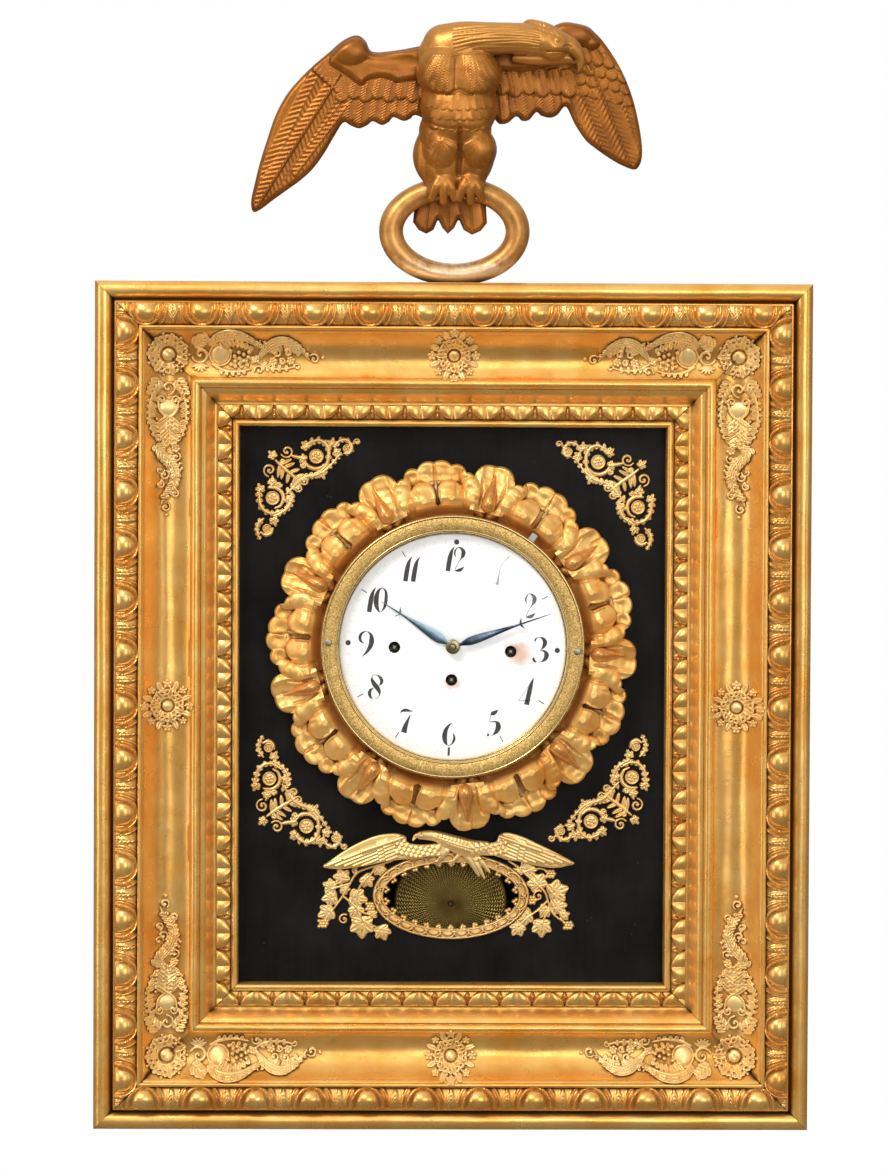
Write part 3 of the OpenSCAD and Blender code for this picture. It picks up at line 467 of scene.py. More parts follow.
def ebonised():
    """Black stained and waxed wood: faint grain, cloudy wax, a few specks of dust."""
    m = Nodes("ebonised_panel")
    grain = m.noise(2.2, 5, 0.6, m.stretched((1, 1, 0.07)))
    cloud = m.noise(46, 4, 0.6)
    tone = m.ramp(cloud, [(0.35, (0.0045, 0.004, 0.0035)), (0.75, (0.012, 0.011, 0.010))])
    tone = m.mix(m.ramp(grain, [(0.4, 0.0), (0.8, 0.35)]), tone, (0.014, 0.012, 0.010))
    dust = m.ramp(m.cells(5.5), [(0.035, 1.0), (0.07, 0.0)])
    few = m.ramp(m.noise(20, 2), [(0.60, 0.0), (0.66, 1.0)])
    tone = m.mix(m.math("MULTIPLY", dust, few), tone, (0.16, 0.15, 0.13))
    rough = m.ramp(m.noise(24, 5, 0.65), [(0.3, 0.30), (0.8, 0.46)])
    return m.finish(tone, rough, 0.0, m.bump(grain, 0.05, 0.7, m.bump(cloud, 0.5, 0.25)), specular=0.08)


def stippled_brass():
    """Frosted brass: fine pits all over, with painted shade in the pits and painted glints on the peaks
    between them, darker where it is handled.
    """
    m = Nodes("bezel_stippled_brass")
    pits = m.noise(0.9, 3, 0.75)
    # painted shade in the pits and painted glints on the peaks, following the pits' height
    tone = m.ramp(pits, [(0.36, (0.30, 0.165, 0.035)), (0.50, (0.66, 0.40, 0.11)), (0.64, (1.0, 0.74, 0.30))])
    tone = m.mix(m.ramp(m.noise(18, 4), [(0.4, 0.0), (0.8, 0.45)]), tone, (0.44, 0.27, 0.075))
    spots = m.ramp(m.noise(3.2, 2), [(0.74, 0.0), (0.80, 0.7)])
    tone = m.mix(spots, tone, (0.06, 0.035, 0.012))
    return m.finish(tone, 0.44, 0.7, m.bump(pits, 0.24, 0.9))


def plain_metal(name, colour, rough, scratch=0.03, tarnish=0.3):
    m = Nodes(name)
    darker = tuple(c * 0.52 for c in colour)
    tone = m.mix(m.ramp(m.noise(7, 5, 0.65), [(0.45, 0.0), (0.75, tarnish)]), colour, darker)
    # painted shade: darker in the hollows
    tone = m.mix(m.ramp(m.hollow(2.5), [(0.3, 0.0), (0.9, 0.6)]), tone, tuple(c * 0.25 for c in colour))
    lines = m.noise(1.1, 3, 0.6, m.stretched((1, 1, 0.12)))
    roughness = m.math("ADD", m.math("MULTIPLY", m.noise(3, 4), 0.18), rough - 0.06)
    return m.finish(tone, roughness, 1.0, m.bump(lines, scratch))


def plain_paint(name, colour):
    m = Nodes(name)
    thin = m.ramp(m.noise(1.6, 3), [(0.52, 0.0), (0.80, 0.55)])
    tone = m.mix(thin, colour, tuple(min(1.0, c * 2.4 + 0.06) for c in colour))
    return m.finish(tone, 0.45)


# Stains on the dial beside its winding holes: x, z, radius, colour and strength
STAINS = ((46.5, -5.0, 9.5, (0.62, 0.40, 0.27), 0.75), (45.0, -3.5, 7.0, (0.66, 0.42, 0.30), 0.55),
          (0.3, -24.8, 6.4, (0.60, 0.30, 0.24), 0.7), (41.0, -2.5, 6.2, (0.5, 0.26, 0.16), 0.5))


def enamel():
    """White fired enamel with brown stains."""
    m = Nodes("dial_enamel")
    tone = m.ramp(m.noise(30, 3), [(0.3, (0.90, 0.90, 0.895)), (0.7, (0.95, 0.95, 0.95))])
    flat = m.add("ShaderNodeVectorMath", 0, {0: m.coord, 1: (1, 0, 1)}, operation="MULTIPLY")
    for x, z, r, colour, strength in STAINS:
        far = m.add("ShaderNodeVectorMath", "Value", {0: flat, 1: (x * MM, 0, z * MM)}, operation="DISTANCE")
        ragged = m.math("ADD", far, m.math("MULTIPLY", m.math("SUBTRACT", m.noise(5, 4), 0.5), 7 * MM))
        stain = m.ramp(m.math("DIVIDE", ragged, r * MM),
                       [(0.35, strength), (0.8, strength * 0.55), (1.0, 0.0)])
        tone = m.mix(stain, tone, colour)
    return m.finish(tone, 0.16, 0.0, m.bump(m.noise(14, 3), 0.05), coat=0.4, coat_rough=0.05)


def blued_steel():
    m = Nodes("blued_steel")
    tone = m.ramp(m.noise(13, 3), [(0.36, (0.035, 0.035, 0.05)), (0.55, (0.10, 0.14, 0.20)),
                                   (0.72, (0.25, 0.34, 0.40))])
    return m.finish(tone, 0.26, 0.9, m.bump(m.noise(0.8, 2, 0.5, m.stretched((1, 1, 0.3))), 0.02))


def engine_turned():
    """The bob: rays of small waves cut by a rose engine, tarnished olive. The rays' light and dark stripes
    are painted sheen and shade, and the dark middle is painted shade.
    """
    m = Nodes("bob_engine_turned")
    centre = (BOB_LO + BOB_HI) / 2
    x = m.math("SUBTRACT", m.axis(0), centre[0] * MM)
    z = m.math("SUBTRACT", m.axis(2), centre[2] * MM)
    radius = m.math("SQRT", m.math("ADD", m.math("MULTIPLY", x, x), m.math("MULTIPLY", z, z)))
    angle = m.math("ARCTAN2", z, x)
    wave = m.math("MULTIPLY", m.math("SINE", m.math("MULTIPLY", radius, TAU / (1.9 * MM))), 1.3)
    rays = m.math("SINE", m.math("ADD", m.math("MULTIPLY", angle, 72.0), wave))
    fade = m.ramp(m.math("DIVIDE", radius, 40 * MM), [(0.02, 0.0), (0.12, 1.0), (0.93, 1.0), (0.955, 0.0)])
    cut = m.math("MULTIPLY", rays, fade)
    rings = m.ramp(m.math("ABSOLUTE", m.math("SUBTRACT", radius, 38 * MM)), [(0.0, 1.0), (0.0006, 0.0)])
    # painted sheen and shade: the rays' light and dark stripes follow the cut
    tone = m.ramp(m.math("ADD", m.math("MULTIPLY", cut, 0.5), 0.5),
                  [(0.1, (0.15, 0.088, 0.016)), (0.6, (0.44, 0.285, 0.065)), (0.95, (0.68, 0.49, 0.15))])
    tone = m.mix(m.ramp(m.noise(16, 4), [(0.4, 0.0), (0.75, 0.6)]), tone, (0.20, 0.13, 0.032))
    # painted shade in the dimple at the middle
    dimple_shade = m.ramp(m.math("DIVIDE", radius, 2.6 * MM), [(0.75, 0.9), (1.0, 0.0)])
    tone = m.mix(dimple_shade, tone, (0.03, 0.02, 0.008))
    normal = m.bump(m.math("ADD", cut, rings), 0.40, 1.0)
    return m.finish(tone, 0.34, 0.85, normal)


def oiled_wood(name, light, dark):
    m = Nodes(name)
    rings = m.noise(7, 4, 0.6, m.stretched((1, 1, 0.06)), distortion=0.4)
    fine = m.noise(1.2, 4, 0.7, m.stretched((1, 1, 0.05)))
    tone = m.ramp(rings, [(0.3, dark), (0.55, light), (0.7, dark)])
    tone = m.mix(m.math("MULTIPLY", fine, 0.35), tone, tuple(c * 0.6 for c in dark))
    return m.finish(tone, 0.62, 0.0, m.bump(fine, 0.12))


# ---- Gilt frame ----
def arc(cx, cy, r, a0, a1, n=10):
    a = np.radians(np.linspace(a0, a1, n))
    return np.stack([cx + r * np.cos(a), cy + r * np.sin(a)], 1)


def rail_profile():
    """The rail's section as [distance from the outer edge, distance in front of the frame's back]."""
    cove_u = np.linspace(0, 1, 22)
    cove = np.stack([34.8 + 31.6 * cove_u,
                     36.2 - 14.2 * cove_u - 9.6 * np.sin(np.pi * cove_u ** 0.86) ** 0.9], 1)
    ogee_u = np.linspace(0, 1, 12)
    ogee = np.stack([74.4 + 11.0 * ogee_u, 24.6 - 8.2 * ogee_u ** 0.8 + 1.4 * np.sin(TAU * ogee_u)], 1)
    return np.vstack([
        [[92.5, 0], [4, 0], [0.6, 0.6], [0, 3], [0.1, 24]],
        arc(6.3, 28.4, 6.2, 190, 4, 20),
        [[12.7, 27.6], [13.4, 27.0], [13.9, 27.4], [14.1, 34.0], [14.5, 34.6], [15.2, 34.6], [15.4, 34],
         [15.4, 31.8],
         [31.0, 31.8], [31.0, 38.0]], arc(32.4, 38.0, 1.35, 170, 10, 7),
        [[34.0, 36.6]], cove,
        [[66.9, 24.4]], arc(70.4, 24.2, 3.2, 160, 12, 10),
        [[74.0, 24.2]], ogee, [[85.5, 16.0], [85.5, 12.8], [96.0, 12.8], [96.0, 17.4]],
        arc(98.2, 16.2, 2.1, 150, 15, 8), [[100.5, 15.6], [100.5, 2.5], [92.5, 2.5]]])


def cove_floor(u):
    """Depth of the frame's surface at distance u from the outer edge."""
    p = rail_profile()[5:-2]
    return FRAME_BACK + np.interp(u, p[:, 0], p[:, 1])


def frame_u(X, Z):
    return np.minimum(HALF_W - np.abs(X), HALF_H - np.abs(Z - MID_Z))


SIDES = {"top": (0, 1), "bottom": (0, -1), "left": (-1, 0), "right": (1, 0)}


def side_point(side, s, u):
    """x and z at distance s along a side from its middle and u in from the outer edge."""
    sx, sz = SIDES[side]
    return (np.where(sx == 0, s, sx * (HALF_W - u)), np.where(sx == 0, MID_Z + sz * (HALF_H - u), MID_Z + s))


def side_half(side, u):
    return (HALF_W if SIDES[side][0] == 0 else HALF_H) - u


def flips(side):
    return side in ("bottom", "left")


def add_bar(parts, side, rows):
    """A bar along one side of the frame from its cross sections, closed by a fan at both mitred ends."""
    n, k = rows.shape[:2]
    parts.add(rows, grid_quads(n, k, wrap_v=True, flip=not flips(side)))
    ids = np.arange(k)
    fan = np.stack([ids, (ids + 1) % k, np.full(k, k)], 1)
    for end in (0, n - 1):
        hub = rows[end].mean(0)
        parts.add(np.vstack([rows[end], hub]), tris=fan[:, ::-1] if (end == 0) == flips(side) else fan)


def fine_section():
    """The rail's section with more points where it is straight, so that the wood can be a little uneven."""
    profile = rail_profile()
    fine = [profile[0]]
    for a, b in zip(profile, np.roll(profile, -1, 0)):
        k = max(1, int(np.hypot(*(b - a)) / 4))
        fine += [a + (b - a) * (i + 1) / k for i in range(k)]
    return np.array(fine[:-1])


def build_rails(M):
    section = fine_section()
    u, h = section[None, :, 0], section[None, :, 1]
    gap, count, bare = 0.10, 150, 3.5
    for side in SIDES:
        s = np.linspace(-1, 1, count)[:, None] * (side_half(side, u) - gap)
        uneven = 0.10 * np.sin(s * 0.051 + u * 0.3 + len(side)) + 0.07 * np.sin(s * 0.137 + u * 0.11)
        x, z = side_point(side, s, u)
        d = FRAME_BACK + h + np.where(h > 4, uneven, 0)
        parts = Parts()
        add_bar(parts, side, np.stack(np.broadcast_arrays(x, d, z), -1))
        rail = parts.build("rail_" + side, M["rail"], slot="frame_gilding", replaces=("frame_rail_" + side,))
        # the back isn't gilt
        rail.data.materials.append(M["frame_back"])
        for face in rail.data.polygons:
            if face.normal.y > 0.9 and face.center.y > -(FRAME_BACK + bare) * MM:
                face.material_index = 1


def strip(side, u0, u1, height, step):
    """The face of a mitred strip of carved moulding: height(s, b) over the frame's back."""
    gap = 0.34
    b = np.linspace(0, u1 - u0, max(6, int((u1 - u0) / step) + 1))[None, :]
    s = np.linspace(-1, 1, int(2 * side_half(side, u0) / step))[:, None] * (side_half(side, u0 + b) - gap)
    b = np.broadcast_to(b, s.shape)
    x, z = side_point(side, s, u0 + b)
    return np.stack([x, FRAME_BACK + height(s, b), z], -1)


def build_strips(M, name, band, bed, height, step, node):
    parts = Parts()
    for side in SIDES:
        front = strip(side, *band, lambda s, b: height(side, s, b), step)
        low = front.copy()
        low[..., 1] = FRAME_BACK + bed
        # the front's edge rows go down to the bed, so that the strip is closed
        add_bar(parts, side, np.concatenate([low[:, :1], front, low[:, -1:]], 1))
    parts.build(name, M["moulding"], slot="moulding_gilding", replaces=(node,))


def egg_height(side, s, b):
    """Eggs in their shells, with a pointed leaf between each two."""
    count = 12 if SIDES[side][0] == 0 else 15
    pitch = 2 * (side_half(side, EGG_BAND[0]) - 20.2) / (count - 1)
    a = s / pitch + (0.5 if count % 2 == 0 else 0)
    a = np.abs(a - np.round(a)) * pitch
    wide = 15.6
    bed = 35.2 + 3.9 * np.sin(np.pi * np.clip((b + 3.0) / 21.0, 0, 1)) ** 0.9
    q = np.sqrt((a / 8.6) ** 2 + (np.maximum(b - 3.0, 0) / 12.0) ** 2)
    egg = bed - 2.3 + 5.6 * np.sqrt(np.clip(1 - q ** 2, 0, 1)) * (0.86 + 0.14 * np.sin(np.pi * b / wide))
    shell_q = np.sqrt((a / 11.2) ** 2 + (np.maximum(b - 2.0, 0) / 14.0) ** 2)
    shell = bed - 1.2 + 3.1 * np.exp(-((shell_q - 1.0) / 0.105) ** 2)
    second = bed - 1.6 + 2.1 * np.exp(-((shell_q - 1.33) / 0.09) ** 2)
    mid = pitch / 2 - a
    leaf_w = np.clip(6.6 * (1 - b / 17.0), 0.4, 9)
    leaf = bed - 1.6 + 2.6 * np.clip(1 - mid / leaf_w, 0, 1) ** 0.6 * (1 - 0.35 * np.exp(-(mid / 0.5) ** 2))
    leaf += 0.22 * np.sin(TAU * (b + mid * 1.6) / 2.6) * (mid < leaf_w)
    h = np.maximum.reduce([egg, shell, second, leaf, bed - 2.4])
    rim = np.minimum(b, wide - b)
    return np.maximum(h - np.clip(1.0 - rim, 0, 1) * 0.8, 32.6)


def leaf_height(side, s, b):
    """Half-round leaves, each folded along its middle, with a small dart between each two."""
    count = 14 if SIDES[side][0] == 0 else 18
    pitch = 2 * (side_half(side, LEAF_BAND[0]) - 5.0) / count
    a = np.abs((s / pitch + 0.5) % 1 - 0.5) * pitch
    bed = 16.2 + 1.4 * np.sin(np.pi * np.clip((b + 1.5) / 13.0, 0, 1))
    half = pitch * 0.485
    down = np.clip((b - 0.5) / 9.3, 0, 1)
    across = a / (half * np.sqrt(np.maximum(1 - down ** 2, 1e-3)))
    rim = np.clip(1 - across, 0, 1) * (down < 1)
    fold = np.sin(np.pi * np.clip(across, 0, 1)) ** 0.8
    step = np.clip(rim / 0.10, 0, 1) ** 0.5 * np.clip((1 - down) / 0.06, 0, 1) ** 0.5
    leaf = bed + 2.0 * step + 1.5 * fold - 0.5
    leaf = np.where(across < 1, leaf, bed - 1.5)
    middle = pitch / 2 - a
    dart = bed - 0.8 + 2.6 * np.clip(1 - np.abs(middle) / 2.4 - np.abs(b - 7.2) / 3.6, 0, 1)
    h = np.maximum(np.maximum(leaf, dart), bed - 1.5)
    edge = np.minimum(b, 10.4 - b)
    return np.maximum(h - np.clip(0.7 - edge, 0, 1) * 0.8, 13.4)


# ---- Wreath ----
PETALS = 9
PETAL_STEP = 360 / PETALS
PETAL_AT = 13.8      # degrees clockwise from 12, the first petal
LEAF_AT = -6.2


def from_nearest(angle, centre):
    """Degrees from the nearest of the nine repeats of centre."""
    return (angle - centre + PETAL_STEP / 2) % PETAL_STEP - PETAL_STEP / 2


def local(angle, r, centre):
    """Millimetres sideways and outwards for a feature standing at centre degrees."""
    a = np.radians(angle - centre)
    return r * np.sin(a), r * np.cos(a)


def round_edge(angle, lobes):
    """Outline radius of round lobes given as (degrees, radius of the centre, radius of the lobe)."""
    out = np.zeros_like(angle)
    for c, r, rho in lobes:
        delta = np.radians(angle - c)
        inside = rho ** 2 - (r * np.sin(delta)) ** 2
        out = np.maximum(out, np.where(inside > 0, r * np.cos(delta) + np.sqrt(np.maximum(inside, 0)), 0))
    return out


def smooth_step(x, a, b):
    t = np.clip((x - a) / (b - a), 0, 1)
    return t * t * (3 - 2 * t)


PETAL_TIP = ((-1.7, 119.0, 10.6), (1.9, 119.6, 10.8))
FOLD_ENDS = ((-9.2, 115.2, 7.0), (9.2, 115.2, 7.0))
BACK_LOBES = ((-1.9, 121.6, 8.8), (2.2, 121.4, 9.0), (-7.3, 121.2, 6.4), (7.3, 121.0, 6.6),
              (0.0, 114.0, 12.0))
FRONT_LOBES = ((-4.9, 108.2, 8.6), (4.9, 108.2, 8.6), (-9.8, 104.5, 9.0), (9.8, 104.5, 9.0),
               (0.0, 103.0, 9.0))


# A fold beside a bud: sideways, outwards, half width, height over the seat
FOLD = np.array([[3.2, 94.5, 3.2, -4.4], [7.0, 100.0, 4.6, -0.2], [11.2, 106.0, 5.8, 1.6],
                 [15.0, 112.0, 6.6, -0.2],
                 [18.4, 117.5, 6.4, -3.4]])
# A bud's and a vein's distance from the middle, half width and height over the seat
BUD = ((95.8, 0.2, -3.0), (97.4, 3.0, -2.0), (100.4, 4.7, -0.6), (104.5, 4.9, -0.4), (110, 3.9, -2.2),
       (116, 2.2, -5.0),
       (121.5, 0.8, -7.0), (124.0, 0.1, -7.6))
VEIN = ((100.2, 0.2, -5.4), (101.0, 1.0, -4.6), (103, 1.0, -4.2), (108, 0.85, -5.2), (112, 1.3, -6.6),
        (117, 0.2, -9.5))
UNDER = -9.0      # a height below all the carving
WREATH_IN = BEZEL_R + 0.4


def leaf_back(l, r):
    """The back tier of a leaf: pale dished lobes."""
    back = 11.6 + 2.2 * smooth_step(r, 112, 130)
    for c, rr, rho in BACK_LOBES[:4]:
        s, o = local(l, r, c)
        q = np.hypot(s, o - rr) / rho
        back = np.maximum(back, 13.0 + 2.0 * np.clip(1 - q ** 2, 0, 1) ** 0.5 - 1.5 * np.exp(-(q / 0.5) ** 2))
    s, o = local(l, r, 0)
    return back - 1.3 * np.exp(-(s / 0.8) ** 2) * smooth_step(o, 112, 119)


def leaf_front(l, r, back):
    """The front tier of a leaf: a roll with two cheeks each side of the slot."""
    roll = SEAT + np.interp(r, [WREATH_IN, 93.6, 96, 99, 102, 104.5, 108, 112, 118],
                            [-7.5, -9.5, -6.5, -1.0, 1.8, 2.3, 0.8, -1.6, -4.6])
    cheeks = sum(3.0 * np.exp(-((l - c) / 2.5) ** 2) * np.exp(-((r - 104.0) / 8.0) ** 2) for c in (-5.6, 5.6))
    valleys = sum(2.6 * np.exp(-(l - c * (1 - 0.004 * (r - 104))) ** 2) for c in (-10.6, 10.6))
    creases = sum(0.9 * np.exp(-((l - c) / 0.55) ** 2) * smooth_step(r, 104, 112) for c in (-7.6, 7.6))
    margin = round_edge(np.round(l, 4), FRONT_LOBES) - r
    front = roll + cheeks - valleys * smooth_step(r, 93,
                                                  99) - creases - 2.0 * np.exp(-np.maximum(margin, 0) / 0.8)
    return np.where((margin > 0) | (r < 100), front, back)


def petal_tip(p, r):
    """The outer lobe of a petal, dished round the bud."""
    s, o = local(p, r, 0)
    tip = SEAT - 2.0 - 6.6 * smooth_step(o, 101, 128) + 1.8 * np.clip(np.abs(s) / 9.5, 0, 1) ** 2
    tip += 1.2 * np.exp(-((np.abs(s) - 9.0) / 2.0) ** 2)
    tip -= 1.2 * np.exp(-(s / 0.9) ** 2) * smooth_step(o, 118, 124)
    margin = round_edge(np.round(p, 4), PETAL_TIP + ((0.0, 108.0, 11.0),)) - r
    tip = tip - 1.2 * np.exp(-np.maximum(margin, 0) / 0.9)
    return np.where((margin > 0) & (o > 96) & (np.abs(p) < 12.5), tip, UNDER)


def petal_folds(p, r):
    """Rounded ridges that open from the bud's root like a V."""
    s, o = local(p, r, 0)
    folds = np.full(r.shape, UNDER)
    for side in (-1, 1):
        for a, b in zip(FOLD, FOLD[1:]):
            u, off = along_segment(s * side, o, a[:2], b[:2])
            q = 1 - (off / (a[2] + (b[2] - a[2]) * u)) ** 2
            crest = SEAT + a[3] + (b[3] - a[3]) * u
            folds = np.maximum(folds, np.where(q > 0, crest - 5.0 + 5.0 * np.sqrt(np.maximum(q, 0)), UNDER))
    return np.where(np.abs(p) < 14, folds, UNDER)


def petal_trough(p, r):
    """Depth of the grooves between a bud and its folds."""
    s, o = local(p, r, 0)
    trough = 1.6 * np.exp(-((np.abs(s) - 5.4 - 0.16 * (o - 100)) / 0.9) ** 2)
    return trough * smooth_step(o, 97, 101) * (1 - smooth_step(o, 116, 121)) * (np.abs(p) < 8)


def cut_vein_slot(h, l, r):
    """The slot of the leaf's vein, open at its outer end, with a raised rim."""
    s, o = local(l, r, 0)
    half = np.interp(o, [99.0, 100.4, 102.5, 106, 110, 113.5, 116.5], [0, 1.9, 1.8, 1.25, 1.5, 2.3, 3.4])
    slot = smooth_step(half - np.abs(s), -0.25, 0.45) * (o < 116.5)
    h = np.where(slot > 0, h * (1 - slot) + np.minimum(h, SEAT - 5.5 - 0.25 * (o - 99)) * slot, h)
    return h + 0.9 * np.exp(-((np.abs(s) - half - 0.8) / 0.6) ** 2) * (o > 98.2) * (o < 110)


def wreath_height(clock, r, t, petal, leaf, which):
    """Height of the carving over the panel at radius r; t is 0 at the bezel and 1 at the edge."""
    p = petal[:, None] + 0.35 * np.sin(r * 0.21 + which[:, None] * 1.7)
    l = leaf[:, None] + 0.35 * np.sin(r * 0.19 + which[:, None] * 2.1)
    back = leaf_back(l, r)
    h = np.maximum.reduce([leaf_front(l, r, back), petal_tip(p, r), petal_folds(p, r),
                           np.where(r > 111, back, UNDER)])
    h = cut_vein_slot(h - petal_trough(p, r), l, r)
    # gentle tool marks, then the turned-over edge
    around = np.radians(clock[:, None])
    h += 0.16 * np.sin(around * 41 + r * 0.35) + 0.12 * np.sin(r * 1.1 + around * 17)
    fall = np.clip((t[None, :] - 0.955) / 0.045, 0, 1)
    return np.clip(h - 2.4 * fall ** 2, 4.0, SEAT + 4.6)


def build_wreath(M):
    n, rings = 2160, 150
    clock = np.arange(n) * 360 / n                    # degrees clockwise from 12
    which = np.floor((clock - PETAL_AT + PETAL_STEP / 2) / PETAL_STEP)
    vary = 0.9 * np.sin(which * 2.4) + 0.5 * np.sin(np.radians(clock) * 3 + 1)
    petal, leaf = from_nearest(clock, PETAL_AT), from_nearest(clock, LEAF_AT)
    edge = np.maximum.reduce([round_edge(petal, PETAL_TIP), round_edge(petal, FOLD_ENDS),
                              round_edge(leaf, BACK_LOBES)])
    edge = np.minimum(np.maximum(edge, 113) + 0.5 * vary, WREATH_R - 0.3)
    t = np.linspace(0, 1, rings)
    r = WREATH_IN + (edge[:, None] - WREATH_IN) * t[None, :]
    h = wreath_height(clock, r, t, petal, leaf, which)
    a = np.radians(90 - clock)

    def ring_of(radius, height):
        radius = np.broadcast_to(radius, (n,))
        return np.stack([radius * np.cos(a), PANEL + np.broadcast_to(height, (n,)), radius * np.sin(a)], -1)

    inner, back_inner, step_up = 82.4, 80.0, 17.2
    rows = [ring_of(inner, step_up), ring_of(inner, SEAT), ring_of(BEZEL_R - 0.2, SEAT),
            ring_of(BEZEL_R + 0.1, SEAT - 0.4)]
    rows += [ring_of(r[:, j], h[:, j]) for j in range(rings)]
    rows += [ring_of(edge - 0.4, h[:, -1] - 1.6), ring_of(edge - 3.0, np.maximum(h[:, -1] - 4.0, 2.6)),
             ring_of(edge - 8.0, 0.0), ring_of(back_inner, 0.0), ring_of(back_inner, step_up)]
    verts = np.stack(rows, 1)
    parts = Parts()
    parts.add(verts, grid_quads(n, verts.shape[1], wrap_u=True, wrap_v=True, flip=True))
    parts.build("wreath_carving", M["wreath"], slot="wreath_gilding", replaces=("wreath",))
    # buds and veins are their own surfaces, because they are another colour
    build_ridges("wreath_buds", M["bud"], BUD, PETAL_AT)
    build_ridges("wreath_veins", M["keyhole"], VEIN, LEAF_AT)


def build_ridges(name, material, ridge, first):
    """A tapered ridge in each of the wreath's repeats, the first one at so many degrees from 12."""
    parts = Parts()
    around = np.arange(28) * TAU / 28
    line = catmull(ridge, 7)
    reach, w, top = line[:, 0], np.maximum(line[:, 1], 0.08)[:, None], SEAT + line[:, 2][:, None]
    across = w * np.cos(around)
    height = top + 0.82 * w * np.sin(around) * (1 + 0.16 * np.cos(around * 2 - np.pi))
    outwards = np.broadcast_to(reach[:, None], across.shape)
    for k in range(PETALS):
        x, z = turned(across, outwards, first + k * PETAL_STEP + 1.2 * math.sin(k * 2.1))
        parts.add(np.stack([x, PANEL + height, z], -1), grid_quads(*across.shape, wrap_v=True, flip=True))
    parts.build(name, material, slot="wreath_gilding")


# ---- Bezel, sight ring and dial ----
def build_bezel(M):
    parts = Parts()
    lathe(parts, [[SIGHT_R + 3.2, WREATH_SEAT], [SIGHT_R + 3.2, BEZEL_HI[1] - 0.35],
                  [SIGHT_R + 3.6, BEZEL_HI[1] - 0.1],
                  [BEZEL_R - 2.4, BEZEL_HI[1] - 0.1], [BEZEL_R - 2.0, BEZEL_HI[1] - 0.3],
                  [BEZEL_R - 2.0, WREATH_SEAT]], n=256)
    parts.build("bezel_frosted", M["bezel"], slot="bezel_brass", replaces=("bezel",))
    rims = Parts()
    lathe(rims, np.vstack([[[BEZEL_R - 2.1, WREATH_SEAT], [BEZEL_R - 2.1, BEZEL_HI[1] - 0.5]],
                           arc(BEZEL_R - 1.1, BEZEL_HI[1] - 1.1, 1.1, 150, 0, 8), [[BEZEL_R, WREATH_SEAT]]]),
          n=256)
    lathe(rims, np.vstack([[[SIGHT_R + 1.9, WREATH_SEAT]],
                           arc(SIGHT_R + 2.6, BEZEL_HI[1] - 0.7, 0.7, 180, 0, 7),
                           [[SIGHT_R + 3.3, WREATH_SEAT]]]), n=256)
    rims.build("bezel_rims", M["rim"], slot="bezel_brass")


def build_sight_ring(M):
    sight = Parts()
    lathe(sight, np.vstack([[[SIGHT_R, DIAL_FRONT], [SIGHT_R, DIAL_FRONT + 3.0]],
                            arc(SIGHT_R + 0.55, DIAL_FRONT + 3.4, 0.55, 180, 20, 6),
                            [[SIGHT_R + 1.2, DIAL_FRONT + 5.8], [SIGHT_R + 1.85, BEZEL_HI[1] - 0.5],
                             [SIGHT_R + 1.85, DIAL_FRONT]]]), n=256)
    sight.build("sight_ring_turned", M["rim"], slot="bezel_brass", replaces=("sight_ring",))


def build_bezel_catch(M):
    """The small steel tab under the bezel's edge."""
    tab = Parts()
    a = math.radians(90 - 36)
    u, v = np.array([math.cos(a), math.sin(a)]), np.array([-math.sin(a), math.cos(a)])
    low, high = WREATH_SEAT - 1.2, WREATH_SEAT + 0.3
    box = [(r, w, d) for r in (BEZEL_R - 1.5, BEZEL_R + 5.5) for w in (-2.4, 2.4) for d in (low, high)]
    corners = [(*(u * r + v * w), d) for r, w, d in box]
    tab.add([(x, d, z) for x, z, d in corners],
            [[0, 1, 3, 2], [4, 6, 7, 5], [0, 4, 5, 1], [2, 3, 7, 6], [0, 2, 6, 4], [1, 5, 7, 3]])
    catch = tab.build("bezel_catch", M["screw"], slot="steel_screws", smooth=False)
    edge = catch.modifiers.new("edge", "BEVEL")
    edge.width = 0.4 * MM
    edge.segments = 3
    edge.limit_method = "ANGLE"


def build_bezel_screws(M):
    screws = Parts()
    for sx in (-1, 1):
        x, z = sx * 87 * math.cos(DIAL_TURN), -sx * 87 * math.sin(DIAL_TURN)
        lathe(screws, np.vstack([[[0.01, BEZEL_HI[1] - 1]], [[2.4, BEZEL_HI[1] - 1]],
                                 arc(1.6, BEZEL_HI[1] + 0.1, 0.8, 0, 90, 6), [[0.01, BEZEL_HI[1] + 0.95]]]),
              (x, z), 32)
    screws.build("bezel_screw_heads", M["screw"], slot="steel_screws", replaces=("bezel_screws",))


